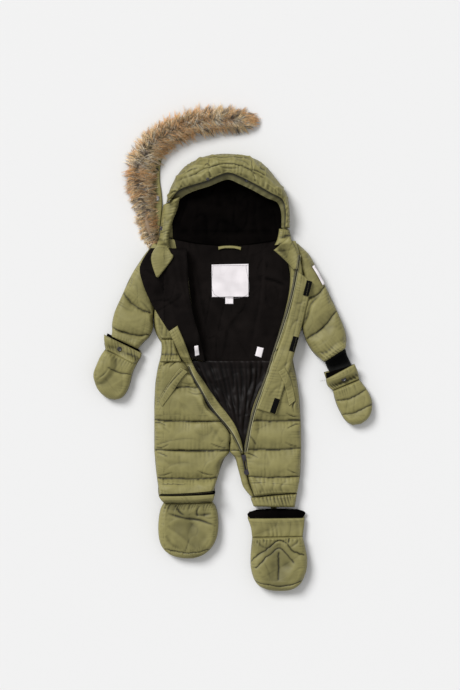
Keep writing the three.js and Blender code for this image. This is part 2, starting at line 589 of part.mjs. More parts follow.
// The fur on its tape: a thick soft rope, flat below, that runs up beside the hood and over its top.
const FUR = { sides: 10, perRow: 2, rise: 2 };
function laySideFur() {
  lay("fur_tape", "nylon", FUR_TAPE, { loft: LOFT.furTape, rim: RIM.flap, across: 4, perRow: 1 });
  const stations = (FUR_LINE.length - 1) * FUR.perRow, rings = [];
  const spot = (t) => new THREE.Vector3(column(FUR_LINE, "x", t), column(FUR_LINE, "y", t), 0);
  for (let j = 0; j <= stations; j++) {
    const t = j / FUR.perRow, middle = spot(t), reach = column(FUR_LINE, "reach", t);
    const along = spot(Math.min(t + 0.2, FUR_LINE.length - 1)).sub(spot(Math.max(t - 0.2, 0))).normalize();
    const side = new THREE.Vector3(along.y, -along.x, 0);
    const under = pileNear(middle.x, middle.y, reach);
    const base = under > 0 ? under + SEAM_GAP : 0;
    const rise = column(FUR_LINE, "height", t);
    const half = FUR.sides / 2;
    const arc = Array.from({ length: half + 1 }, (_, k) => {
      const turn = (Math.PI * k) / half;
      const point = middle.clone().addScaledVector(side, reach * Math.cos(turn));
      return point.setZ(base + FUR.rise + rise * Math.sin(turn));
    });
    rings.push([...arc, ...arc.map((p) => p.clone().setZ(base)).reverse()]);
  }
  heap(facesOf(rings.map((ring) => ring.slice(0, FUR.sides / 2 + 1))));
  add("fur_trim", ringsToGeometry(rings), "fur");
}

// The trousers' front, from the fold of the opening to the ankles.
function layTrousers() {
  const gathered = { across: 16, gathers: waves(5, WAVE) };
  const shell = { loft: LOFT.shell, perRow: 2, across: 8, arch: 4 };
  lay("front_trouser_left", "nylon", FRONT_LEG_LEFT, { ...shell, quilts: LEG_LEFT_QUILTS });
  lay("front_gusset", "nylon", FRONT_GUSSET, { ...shell, across: 4, perRow: 1, quilts: [2] });
  lay("front_trouser_right", "nylon", FRONT_LEG_RIGHT, { ...shell, quilts: LEG_RIGHT_QUILTS });
  lay("bootie_strap", "nylon", BOOT_STRAP, { loft: LOFT.strap, rim: RIM.flap, across: 4, perRow: 2 });
  lay("leg_cuff_right", "nylon", LEG_CUFF_RIGHT, { ...gathered, loft: LOFT.legCuff, rim: RIM.legCuff });
}

// Rows moved in from their two edges.
const inset = (rows, left, right) =>
  rows.map((row) => ({ ...row, leftX: row.leftX + left, rightX: row.rightX - right }));

function layBodice() {
  const shell = { loft: LOFT.shell, perRow: 1, across: 6, arch: 4 };
  lay("front_waist_left", "nylon", FRONT_WAIST_LEFT, { ...shell, loft: LOFT.waist });
  lay("front_bodice_left", "nylon", inset(FRONT_BODICE_LEFT, 4, 0), shell);
  lay("front_bodice_right", "nylon", inset(FRONT_BODICE_RIGHT, 0, 5), shell);
}

function laySleeves() {
  const gathered = { across: 16, gathers: waves(5, WAVE) };
  lay("rib_cuff_right", "rib", RIB_CUFF, {
    ...gathered, loft: LOFT.rib, rim: RIM.under, hollow: CUFF_WALL,
  });
  const sleeve = { loft: LOFT.shell, perRow: 2, across: 8, arch: 3 };
  lay("sleeve_front_left", "nylon", SLEEVE_LEFT, { ...sleeve, quilts: SLEEVE_LEFT_QUILTS });
  lay("sleeve_front_right", "nylon", SLEEVE_RIGHT, { ...sleeve, quilts: SLEEVE_RIGHT_QUILTS });
}

// What is turned out beside the opening: the left front with its fleece up, the placket, and the storm flap.
function layOpening() {
  const tape = { loft: LOFT.tape, rim: RIM.thin, across: 4, perRow: 1 };
  const chin = { loft: LOFT.chin, rim: RIM.chin, across: 4 };
  lay("lapel_shell_left", "nylon", LAPEL_LEFT, { loft: LOFT.lapel, rim: RIM.lapel, perRow: 1, arch: 4 });
  lay("lapel_fleece_left", "fleece", LAPEL_LEFT, { loft: LOFT.fleece, rim: RIM.thin });
  lay("zip_tape_left", "fleece", ribbon(ZIP_LINE_LEFT, ZIP_WIDE), tape);
  lay("placket_left", "nylon", PLACKET_LEFT, { loft: LOFT.flap, rim: RIM.flap, across: 4, perRow: 1 });
  lay("zip_tape_right", "fleece", ribbon(ZIP_LINE_RIGHT, ZIP_WIDE), tape);
  lay("storm_flap_right", "nylon", STORM_FLAP, { loft: LOFT.flap, rim: RIM.flap, across: 6 });
  lay("chin_guard_left", "nylon", CHIN_LEFT, chin);
  lay("chin_guard_right", "nylon", CHIN_RIGHT, chin);
}

function layTrim() {
  const label = { loft: LOFT.label, rim: LOFT.label, across: 4, perRow: 1, linear: true, stiff: 0 };
  lay("care_label", "label", CARE_LABEL, label);
  lay("hang_loop", "nylon", HANG_LOOP, { ...label, loft: LOFT.loop, rim: RIM.flap });
  lay("side_tag_left", "label", TAG_LEFT, label);
  lay("side_tag_right", "label", TAG_RIGHT, label);
  const welt = { loft: LOFT.welt, rim: RIM.flap, across: 4, perRow: 1 };
  lay("pocket_welt_left", "nylon", POCKET_LEFT, welt);
  lay("pocket_welt_right", "nylon", POCKET_RIGHT, welt);
  for (const { name, x, y, turn } of VELCRO) {
    const [along, side] = [new THREE.Vector2(0, VELCRO_SIZE.long / 2), new THREE.Vector2(VELCRO_SIZE.wide / 2, 0)]
      .map((v) => v.rotateAround(new THREE.Vector2(), (turn * Math.PI) / 180));
    const row = (s) => ({
      leftX: x + s * along.x - side.x, leftY: y + s * along.y - side.y,
      rightX: x + s * along.x + side.x, rightY: y + s * along.y + side.y,
    });
    lay(name, "velcro", [row(1), row(0), row(-1)], { ...label, loft: LOFT.hooks, rim: LOFT.hooks });
  }
}

// Mittens and booties: the upper lies on the palm or sole, and its cuff on the upper.
function layMittens() {
  const cuff = { loft: LOFT.cuff, rim: RIM.cuff, across: 10, gathers: waves(4, WAVE) };
  const hand = { loft: LOFT.mitten, perRow: 1, across: 8, round: [0, 1.5], arch: 2.4 };
  const thumb = { ...hand, across: 4, loft: LOFT.thumb, rim: RIM.cuff, round: [1, 1] };
  lay("mitten_thumb_left", "nylon", MITTEN_LEFT_THUMB, thumb);
  lay("mitten_hand_left", "nylon", MITTEN_LEFT_HAND, { ...hand, quilts: [1.4] });
  lay("mitten_cuff_left", "nylon", MITTEN_LEFT_CUFF, cuff);
  lay("mitten_hand_right", "nylon", MITTEN_RIGHT_HAND, { ...hand, quilts: [1.5, 3.2] });
  lay("mitten_cuff_right", "nylon", MITTEN_RIGHT_CUFF, cuff);
}

function layBooties() {
  const cuff = { loft: LOFT.cuff, rim: RIM.cuff, across: 14, gathers: waves(6, WAVE) };
  const foot = { loft: LOFT.footRight, perRow: 2, across: 8, round: [0, 1.6], arch: 2.6 };
  lay("bootie_upper_left", "nylon", BOOT_LEFT_FOOT, { ...foot, loft: LOFT.footLeft });
  lay("bootie_cuff_left", "nylon", BOOT_LEFT_CUFF, cuff);
  lay("bootie_upper_right", "nylon", BOOT_RIGHT_FOOT, { ...foot, quilts: [2.4] });
  lay("bootie_cuff_right", "nylon", BOOT_RIGHT_CUFF, cuff);
}

// A press stud: a flat round cap with a raised ring.
function pressStud(name, x, y, radius = 6) {
  const profile = [[0, 0], [radius, 0], [radius, 1.6], [radius - 1.6, 2.4], [radius - 2.4, 1.4], [0, 1.8]];
  const cap = new THREE.LatheGeometry(profile.map(([r, z]) => new THREE.Vector2(r, z)), 16);
  cap.rotateX(Math.PI / 2);
  seat(name, cap, "metal", x, y, radius - 1.5);
}

// The slider at the bottom of the zip, with a bridge that its pull hangs on. The frame of both has its origin on the
// pile under the slider and its +Y along the zip, up the suit.
const SLIDER = {
  x: 28.5, y: -276, turn: (10.5 * Math.PI) / 180, long: 14, wide: 11, nose: 0.64, thick: 5,
  span: 10, bridge: 4, wire: 1.5, back: 2, sunk: 0.4, press: 0.9,
};
const PULL = { wire: 1.6, wide: 8, long: 28, medal: 7, thick: 2.2, gap: 1.5, seat: -3.6 };
function hangZipPull() {
  const { long, wide, thick, bridge, wire } = SLIDER;
  const end = SLIDER.span / 2, nose = (wide * SLIDER.nose) / 2;
  const outline = new THREE.Shape();
  outline.moveTo(-wide / 2, long / 2).lineTo(-nose, -long / 2).lineTo(nose, -long / 2);
  outline.lineTo(wide / 2, long / 2).closePath();
  const arch = new THREE.Shape();
  arch.moveTo(-end, 0).lineTo(-end, bridge + wire).lineTo(end, bridge + wire).lineTo(end, 0);
  arch.lineTo(end - wire, 0).lineTo(end - wire, bridge);
  arch.lineTo(wire - end, bridge).lineTo(wire - end, 0).closePath();
  const body = solid(new THREE.ExtrudeGeometry(outline, { depth: thick, bevelEnabled: false }));
  const loop = new THREE.ExtrudeGeometry(arch, { depth: wire, bevelEnabled: false });
  loop.translate(0, 0, -wire / 2);
  loop.rotateX(Math.PI / 2);
  loop.rotateZ(Math.PI / 2);
  loop.translate(0, -SLIDER.back, thick - SLIDER.sunk);
  const slider = geometryOf(body.add(solid(loop)));
  const ground = pileNear(SLIDER.x, SLIDER.y, wide / 2) + SEAT_GAP - SLIDER.press;
  const place = (geometry) => {
    geometry.rotateZ(SLIDER.turn);
    geometry.translate(SLIDER.x, SLIDER.y, ground);
    return geometry;
  };
  add("zip_slider", place(slider), "metal");
  // The pull: a wire loop under the bridge, two bars and a round plate, lying down along the zip.
  const ring = new THREE.Shape();
  const half = PULL.wide / 2;
  const bar = PULL.wire / 2;
  ring.moveTo(-half, bar).lineTo(half, bar).lineTo(half, -PULL.long).lineTo(-half, -PULL.long).closePath();
  const hole = new THREE.Path();
  const inner = half - PULL.wire;
  hole.moveTo(-inner, -bar).lineTo(-inner, -PULL.long + PULL.wire);
  hole.lineTo(inner, -PULL.long + PULL.wire).lineTo(inner, -bar).closePath();
  ring.holes.push(hole);
  const frame = solid(new THREE.ExtrudeGeometry(ring, { depth: PULL.wire, bevelEnabled: false }));
  const medal = new THREE.CylinderGeometry(PULL.medal, PULL.medal, PULL.thick, 20);
  medal.rotateX(Math.PI / 2);
  medal.translate(0, -PULL.long - PULL.medal + PULL.wire, PULL.thick / 2);
  const pull = geometryOf(frame.add(solid(medal)));
  // The pull turns on the bar under the bridge, and lies down until its plate meets the cloth.
  const hinge = thick + PULL.gap + bar, arm = PULL.long + PULL.medal;
  const plate = new THREE.Vector2(0, PULL.seat - arm).rotateAround(new THREE.Vector2(), SLIDER.turn);
  const cloth = pileNear(SLIDER.x + plate.x, SLIDER.y + plate.y, PULL.medal + 1) + SEAM_GAP + PULL.thick / 2;
  pull.translate(0, 0, -bar);
  pull.rotateX(Math.max(0, Math.asin((ground + hinge - cloth) / (arm + PULL.medal))));
  pull.translate(0, PULL.seat, hinge);
  add("zip_pull", place(pull), "metal");
}

// A closed geometry as a solid that can be joined, and a solid as a geometry.
function solid(geometry) {
  geometry.deleteAttribute("normal");
  geometry.deleteAttribute("uv");
  const merged = mergeVertices(geometry, 1e-4);
  return new wasm.Manifold(new wasm.Mesh({
    numProp: 3,
    vertProperties: new Float32Array(merged.attributes.position.array),
    triVerts: new Uint32Array(merged.index.array),
  }));
}

function geometryOf(manifold) {
  const mesh = manifold.getMesh();
  const geometry = new THREE.BufferGeometry();
  geometry.setAttribute("position", new THREE.BufferAttribute(mesh.vertProperties, 3));
  geometry.setIndex(new THREE.BufferAttribute(mesh.triVerts, 1));
  geometry.computeVertexNormals();
  return geometry;
}

layBack();
layLining();
layHood();
laySideFur();
layTrousers();
laySleeves();
layBodice();
layHoodSides();
layMittens();
layBooties();
layOpening();
layTrim();
pressStud("snap_tape", -188, 370);
pressStud("snap_sleeve", 248, 0);
hangZipPull();

// The suit's own box is centred over the origin, with the floor at 0.
const box = new THREE.Box3().setFromObject(suit);
suit.position.set(-(box.min.x + box.max.x) / 2, -(box.min.y + box.max.y) / 2, 0);
suit.updateMatrixWorld(true);

export default suit;
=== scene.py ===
import math

import bpy
import numpy as np
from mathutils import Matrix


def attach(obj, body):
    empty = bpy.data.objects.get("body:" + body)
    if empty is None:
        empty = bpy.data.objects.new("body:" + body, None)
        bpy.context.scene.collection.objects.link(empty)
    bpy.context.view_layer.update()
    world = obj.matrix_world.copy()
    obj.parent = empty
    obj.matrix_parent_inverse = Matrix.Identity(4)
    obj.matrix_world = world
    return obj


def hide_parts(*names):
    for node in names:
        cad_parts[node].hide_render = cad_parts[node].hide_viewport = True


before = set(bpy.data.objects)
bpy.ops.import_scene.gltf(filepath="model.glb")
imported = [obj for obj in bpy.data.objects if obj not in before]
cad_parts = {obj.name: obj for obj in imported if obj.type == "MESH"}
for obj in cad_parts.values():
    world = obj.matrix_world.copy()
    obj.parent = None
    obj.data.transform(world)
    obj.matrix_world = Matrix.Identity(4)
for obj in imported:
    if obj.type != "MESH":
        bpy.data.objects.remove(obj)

bl_info = {
    "name": "Padded snowsuit",
    "version": (1, 0, 0),
    "blender": (4, 5, 0),
    "location": "3D View > Sidebar > Snowsuit",
    "description": "Builds the cloth of a toddler's padded snowsuit around its solid parts",
    "category": "Object",
}

# Lengths below are millimetres on the pattern plan; the plan's middle is moved to the frame's by this much.
MM = 0.001
PLAN_SHIFT = (-1.0, 7.84)
PHOTO_MM = 2.5
PHOTO_MIDDLE = (232.5, 346.5)
SEAM_GAP = 0.4


def sections(*rows):
    """Rows of a panel's plan, from its top to its bottom: left x, left y, right x, right y."""
    return np.array(rows, float)


def trace(*numbers):
    """A line of points on the plan, from places read off the photograph."""
    places = np.array(numbers, float).reshape(-1, 2)
    return np.stack([(places[:, 0] - PHOTO_MIDDLE[0]) * PHOTO_MM,
                     (PHOTO_MIDDLE[1] - places[:, 1]) * PHOTO_MM], 1)


# Panel plans.
BACK_BODICE = sections(
    (-170, 270, 136, 270), (-180, 232, 150, 232), (-184, 195, 159, 195), (-192, 140, 169, 140),
    (-197, 90, 175, 90), (-196, 48, 171, 48), (-186, 22, 163, 22), (-178, 8, 157, 8),
    (-178, -14, 152, -14), (-181, -33, 151, -33),
)
BACK_LEG_LEFT = sections(
    (-181, -33.6, -10, -33.6), (-191, -90, -10, -90), (-195, -140, -10, -140),
    (-195, -200, -10, -200), (-195, -250, -10, -252), (-194, -275, -20, -278),
    (-191, -310, -33, -312), (-187, -340, -42, -342), (-181, -374, -50, -376),
)
BACK_LEG_RIGHT = sections(
    (-9.4, -33.6, 151, -33.6), (-9.4, -90, 162, -90), (-9.4, -140, 168, -140),
    (-9.4, -200, 170, -200), (-9.4, -252, 171, -250), (6, -278, 170, -280), (14, -304, 170, -306),
    (22, -330, 168, -330), (34, -360, 163, -352), (50, -378, 160, -368), (53, -396, 156, -397),
)
FLEECE_BACK = sections(
    (-150, 276, 128, 276), (-142, 255, 126, 255), (-134, 200, 140, 200), (-132, 140, 146, 140),
    (-126, 80, 140, 80),
    (-116, 30, 124, 30), (-106, -10, 106, -10), (-92, -42, 92, -42),
)
SATIN_LOWER = sections(
    (-104, -34, 98, -34), (-100, -80, 84, -80), (-84, -120, 72, -120), (-60, -160, 62, -160),
    (-34, -200, 52, -200), (-14, -232, 44, -232), (2, -262, 38, -262),
)
FRONT_LEG_LEFT = sections(
    (-181, -32, -132, -32), (-187, -57, -107, -57), (-192, -88, -89, -90), (-194, -118, -74, -118),
    (-195, -150, -60, -150), (-195, -186, -32, -182), (-195, -212, -9, -216), (-195, -237, -8, -240),
    (-195, -259, -8, -262), (-193, -281, -24, -284), (-191, -303, -31, -306),
    (-188, -326, -37, -327), (-183, -350, -44, -348), (-179, -374, -52, -374),
)
FRONT_GUSSET = sections(
    (-8, -216, 3, -219), (-7, -238, 12, -240), (-6, -262, 22, -262), (6, -276, 26, -278),
    (12, -298, 31, -299), (19, -324, 37, -324), (27, -350, 43, -346), (46, -374, 55, -373),
)
FRONT_LEG_RIGHT = sections(
    (108, -10, 152, -10), (96, -45, 151, -45), (82, -80, 160, -80), (67, -115, 165, -115),
    (53, -152, 168, -152), (45, -187, 170, -187), (38, -221, 171, -221), (32, -256, 171, -256),
    (34, -289, 170, -289), (41, -323, 168, -323), (49, -347, 165, -345), (57, -373, 161, -364),
)
FRONT_BODICE_RIGHT = sections(
    (132, 262, 162, 262), (142, 226, 172, 226), (148, 187, 178, 187), (146, 140, 182, 140),
    (136, 90, 182, 90), (122, 42, 174, 42), (107, -9, 154, -9),
)
FRONT_WAIST_LEFT = sections(
    (-178, 18, -146, 18), (-177, 2, -141, 2), (-177, -14, -136, -14), (-180, -38, -126, -38),
)
FRONT_BODICE_LEFT = sections(
    (-172, 258, -116, 252), (-182, 214, -113, 214), (-189, 168, -109, 166), (-195, 122, -104, 118),
    (-199, 78, -97, 74), (-194, 40, -90, 40), (-180, 19, -84, 19),
)
CHIN_LEFT = sections(
    (-186, 252, -162, 250), (-200, 228, -152, 232), (-200, 205, -148, 218), (-189, 172, -184, 170),
)
CHIN_RIGHT = sections(
    (102, 240, 140, 272), (118, 226, 152, 250), (136, 208, 162, 228), (150, 190, 162, 192),
)
LAPEL_LEFT = sections(
    (-204, 244, -114, 244), (-229, 198, -110, 198), (-222, 156, -108, 150), (-205, 115, -102, 105),
    (-184, 78, -93, 65), (-162, 44, -82, 28), (-140, 14, -74, -8), (-120, -24, -68, -38),
)
PLACKET_LEFT = sections(
    (-156, 37, -136, 52), (-139, 2, -120, 15), (-126, -29, -106, -24), (-107, -55, -91, -58),
    (-90, -87, -72, -85), (-74, -114, -54, -112), (-58, -144, -34, -140), (-37, -172, -12, -168),
    (-15, -198, 6, -194), (2, -222, 18, -222), (14, -247, 25, -248), (24, -266, 28, -267),
)
STORM_FLAP = sections(
    (168, 186, 198, 158), (160, 145, 192, 134), (150, 100, 183, 92), (138, 53, 171, 45),
    (124, 10, 160, 4), (108, -30, 149, -34), (93, -72, 136, -76), (78, -117, 122, -121),
    (64, -155, 109, -170),
)
POCKET_LEFT = sections(
    (-128, -51, -110, -63), (-145, -70, -128, -83), (-163, -98, -146, -111),
    (-184, -131, -174, -149),
)
POCKET_RIGHT = sections(
    (112, -63, 129, -52), (125, -87, 142, -76), (133, -115, 151, -106), (140, -148, 156, -134),
)
SLEEVE_LEFT = sections(
    (-196, 258, -176, 248), (-222, 225, -184, 195), (-252, 178, -192, 128), (-276, 126, -198, 74),
    (-293, 88, -198, 46), (-300, 58, -207, 25), (-300, 38, -220, 12), (-302, 24, -236, -6),
)
SLEEVE_RIGHT = sections(
    (148, 262, 160, 258), (160, 210, 190, 230), (171, 157, 212, 190), (176, 103, 235, 143),
    (172, 58, 250, 112), (182, 18, 262, 85), (195, -6, 277, 50), (208, -22, 284, 20),
    (228, -38, 281, -4),
)
RIB_CUFF = sections(
    (227, -30, 278, 4), (236, -52, 287, -24), (241, -62, 295, -41), (250, -84, 303, -63),
)
MITTEN_LEFT = sections(
    (-310, 32, -230, -10), (-320, 10, -228, -24), (-318, -8, -238, -42), (-329, -25, -246, -58),
    (-338, -45, -251, -73), (-346, -68, -254, -87), (-343, -90, -259, -103),
    (-335, -108, -267, -118), (-322, -122, -278, -129), (-308, -131, -294, -133),
)
MITTEN_LEFT_CUFF = sections(
    (-320, 30, -226, -16), (-319, 10, -230, -30), (-312, -10, -246, -44),
)
MITTEN_LEFT_THUMB = sections(
    (-322, -15, -306, -23), (-332, -35, -302, -42), (-342, -55, -309, -58), (-345, -69, -320, -70),
    (-341, -79, -331, -80),
)
MITTEN_RIGHT = sections(
    (228, -64, 302, -44), (238, -92, 308, -64), (250, -110, 316, -83), (255, -130, 330, -100),
    (262, -150, 342, -120), (270, -166, 348, -141), (278, -180, 346, -163), (288, -190, 337, -180),
    (300, -196, 320, -193),
)
MITTEN_RIGHT_CUFF = sections(
    (232, -81, 303, -43), (237, -98, 312, -63), (251, -110, 316, -82),
)
BOOT_LEFT = sections(
    (-186, -352, -45, -346), (-184, -372, -44, -366), (-171, -388, -50, -386),
    (-179, -404, -41, -400), (-184, -430, -36, -422), (-185, -460, -35, -450),
    (-181, -487, -40, -478), (-170, -507, -53, -502), (-150, -521, -73, -519),
    (-123, -528, -98, -528),
)
BOOT_LEFT_CUFF = sections(
    (-185, -361, -43, -352), (-180, -375, -44, -368), (-170, -390, -50, -388),
)
BOOT_RIGHT = sections(
    (42, -412, 176, -410), (38, -428, 180, -426), (46, -450, 178, -450), (49, -475, 175, -473),
    (47, -498, 180, -495), (45, -528, 186, -525), (46, -553, 185, -553), (53, -578, 177, -578),
    (65, -595, 165, -595), (85, -605, 148, -605), (106, -609, 130, -609),
)
BOOT_RIGHT_CUFF = sections(
    (38, -428, 180, -427), (46, -452, 178, -451), (49, -476, 175, -474),
)
LEG_CUFF_RIGHT = sections(
    (45, -376, 161, -365), (48, -387, 158, -383), (53, -399, 155, -401),
)
BOOT_STRAP = sections(
    (96, -384, 111, -384), (96, -408, 110, -408), (97, -434, 110, -434),
)
HOOD_BACK = sections(
    (-60, 474, 40, 474), (-112, 448, 84, 448), (-146, 400, 120, 400), (-160, 350, 136, 350),
    (-166, 305, 138, 305), (-168, 270.6, 138, 270.6),
)
HOOD_LINING = sections(
    (-52, 466, 32, 466), (-100, 436, 74, 436), (-132, 395, 106, 395), (-146, 350, 124, 350),
    (-150, 305, 124, 305), (-148, 268, 124, 268),
)
HOOD_SIDE_LEFT = sections(
    (-173, 354, -129, 373), (-176, 335, -138, 340), (-179, 310, -148, 315), (-181, 285, -154, 290),
    (-186, 262, -158, 262), (-190, 246, -154, 240),
)
HOOD_SIDE_RIGHT = sections(
    (116, 294, 141, 292), (114, 280, 145, 278), (110, 264, 147, 264), (104, 252, 146, 256),
)
FUR_TAPE = sections(
    (-196, 274, -185, 272), (-201, 318, -178, 318), (-202, 354, -175, 354), (-201, 386, -177, 386),
    (-204, 416, -181, 416), (-200, 446, -180, 448), (-190, 466, -176, 470),
)
CARE_LABEL = sections(
    (-52, 204, 40, 206), (-52, 164, 40, 165), (-51, 123, 40, 124),
)
SIZE_TAB = sections(
    (-18, 122.4, 2, 122.4), (-18, 106, 2, 106),
)
TAG_LEFT = sections(
    (-95, 1, -85, 3), (-93, -24, -82, -21),
)
TAG_RIGHT = sections(
    (62, 0, 78, -4), (56, -23, 72, -28),
)
HANG_LOOP = sections(
    (-36, 249, 22, 248), (-35, 240, 21, 239),
)
HOOD_ROLL = sections(
    (-166, 357, -152, 366, -138, 362, 34), (-152, 402, -132, 388, -116, 378, 44),
    (-124, 444, -100, 399, -88, 389, 54), (-85, 468, -62, 410, -57, 398, 61),
    (-43, 479, -30, 424, -28, 410, 64), (-8, 481, -8, 429, -8, 414, 65),
    (35, 475, 22, 418, 18, 403, 64), (72, 459, 60, 399, 50, 388, 60),
    (106, 422, 95, 380, 84, 370, 54), (134, 382, 124, 364, 112, 358, 46),
    (142, 340, 132, 335, 122, 333, 38), (142, 296, 131, 297, 123, 296, 30),
)
FUR_LINE = sections(
    (-197, 256, 9, 14), (-207, 285, 16, 22), (-215, 320, 19, 27), (-220, 355, 21, 30),
    (-226, 386, 27, 33), (-231, 416, 30, 35), (-228, 446, 31, 36), (-217, 473, 32, 36),
    (-200, 499, 33, 36), (-176, 520, 33, 36), (-147, 538, 33, 36), (-113, 551, 33, 35),
    (-78, 559, 32, 34), (-44, 563, 30, 32), (-10, 565, 28, 30), (21, 564, 25, 26),
    (44, 562, 20, 18),
)
ZIP_LEFT = sections(
    (-110, -50), (-96, -80), (-80, -107), (-63, -138), (-44, -165), (-22, -190), (-3, -214),
    (11, -240), (21, -262),
)
ZIP_RIGHT = sections(
    (164, 226), (158, 187), (149, 140), (136, 90), (121, 42), (104, -10), (88, -62), (71, -108),
    (56, -150), (45, -190), (38, -228), (32, -262),
)


# Curves and noise on the plan.
def curve(values, t):
    """A smooth curve through rows of values, one row for each whole t."""
    i = np.clip(np.floor(t).astype(int), 0, len(values) - 2)
    a, b, c, d = (values[np.clip(i + k, 0, len(values) - 1)] for k in (-1, 0, 1, 2))
    s = (t - i).reshape(t.shape + (1,) * (values.ndim - 1))
    return b + 0.5 * s * (c - a + s * (2 * a - 5 * b + 4 * c - d + s * (3 * (b - c) + d - a)))


def resampled(points, step):
    """The smooth curve through points, cut into even steps."""
    fine = curve(np.asarray(points, float), np.linspace(0, len(points) - 1, 24 * len(points)))
    run = np.concatenate([[0], np.cumsum(np.linalg.norm(np.diff(fine, axis=0), axis=1))])
    count = max(2, int(run[-1] / step) + 1)
    even = np.linspace(0, run[-1], count)
    return np.stack([np.interp(even, run, fine[:, k]) for k in range(fine.shape[1])], 1)


def smoothstep(value):
    value = np.clip(value, 0, 1)
    return value * value * (3 - 2 * value)


def noise(x, y, size, seed):
    """Soft random hills from -1 to 1, about a size apart."""
    lattice = np.random.default_rng(seed).uniform(-1, 1, (64, 64))
    px, py = x / size + 640, y / size + 640
    i, j = np.floor(px).astype(int), np.floor(py).astype(int)
    fx, fy = smoothstep(px - i), smoothstep(py - j)
    i, j = i % 63, j % 63
    low = lattice[j, i] * (1 - fx) + lattice[j, i + 1] * fx
    high = lattice[j + 1, i] * (1 - fx) + lattice[j + 1, i + 1] * fx
    return low * (1 - fy) + high * fy


def crumple(x, y, size, turn, stretch, seed):
    """Narrow random ridges from 0 to 1, longer along a direction: one less the size of noise, squared."""
    c, s = math.cos(turn), math.sin(turn)
    along, across = (x * c + y * s) / stretch, -x * s + y * c
    bend = noise(along, across, size * 2.2, seed + 1) * size * 0.6
    return (1 - np.abs(noise(along + bend, across + bend, size, seed))) ** 3


def beside(line, x, y, reach):
    """For points of the plan within a reach of a line: where they are, their signed distance and their run."""
    line = resampled(line, 5)
    low, high = line.min(0) - reach, line.max(0) + reach
    near = (x > low[0]) & (x < high[0]) & (y > low[1]) & (y < high[1])
    px, py = x[near], y[near]
    best, run, side = np.full(px.shape, 1e9), np.zeros(px.shape), np.zeros(px.shape)
    gone = 0.0
    for a, b in zip(line[:-1], line[1:]):
        step = b - a
        length = math.hypot(*step)
        share = np.clip(((px - a[0]) * step[0] + (py - a[1]) * step[1]) / length ** 2, 0, 1)
        dx, dy = px - a[0] - share * step[0], py - a[1] - share * step[1]
        away = np.hypot(dx, dy)
        closer = away < best
        best = np.where(closer, away, best)
        run = np.where(closer, gone + share * length, run)
        side = np.where(closer, np.sign(step[0] * dy - step[1] * dx), side)
        gone += length
    return near, best, run, side, gone


# What is worked into a panel's top: each takes the plan and gives a height to add.
def crease(line, depth, width=6.0):
    """A soft trough along a line, deepest at its middle; a negative depth is a ridge."""
    def height(x, y, seed):
        out = np.zeros(x.shape)
        near, away, run, _, length = beside(line, x, y, width * 3)
        fade = np.sin(np.pi * np.clip(run / length, 0, 1)) ** 0.6
        out[near] = -depth * fade * np.exp(-(away / width) ** 2)
        return out
    return height


def fold(line, height_mm, gentle=16.0, steep=2.5):
    """A fold lying over to the right of a line: a steep step at the line that runs out gently."""
    def height(x, y, seed):
        out = np.zeros(x.shape)
        near, away, run, side, length = beside(line, x, y, gentle * 3)
        signed = away * -side
        fade = np.sin(np.pi * np.clip(run / length, 0.02, 0.98)) ** 0.5
        out[near] = height_mm * fade * np.exp(-np.maximum(signed, 0) / gentle) / (
            1 + np.exp(-np.clip(signed / steep, -30, 30)))
        return out
    return height


def quilt(line, depth, reach=12.0, pucker=1.9, wave=11.0):
    """A stitched line: the padding rises from it on both sides, with short uneven puckers across it."""
    def height(x, y, seed):
        out = np.zeros(x.shape)
        near, away, run, side, _ = beside(line, x, y, reach * 4)
        warp = noise(run, side * 40.0, wave * 2.2, seed + 5) * wave * 0.7
        strength = 0.55 + 0.45 * noise(run, side * 90.0, wave * 3.1, seed + 6)
        ripple = np.sin(2 * np.pi * (run + warp) / wave + side * 0.9) * strength
        close = np.exp(-away / (reach * 0.85)) * (1 - np.exp(-away / 1.6))
        wobble = 1.3 * noise(run, run * 0, 17, seed + 7) + 0.7 * noise(run, run * 0, 7, seed + 8)
        uneven = 1 + 0.3 * noise(run, run * 0, 23, seed + 9)
        apart = np.abs(away * side + wobble) + 0.01
        valley = 0.55 * np.exp(-(apart / (reach * 0.75)) ** 0.9) + 0.45 * np.exp(-apart / 2.0)
        out[near] = -depth * uneven * valley + 0.5 * pucker * ripple * close
        return out

    def sewn(x, y):
        out = np.zeros(x.shape)
        near, away, _, _, _ = beside(line, x, y, 6)
        out[near] = np.clip(1.6 - away / 1.6, 0, 1)
        return out

    height.sewn = sewn
    return height


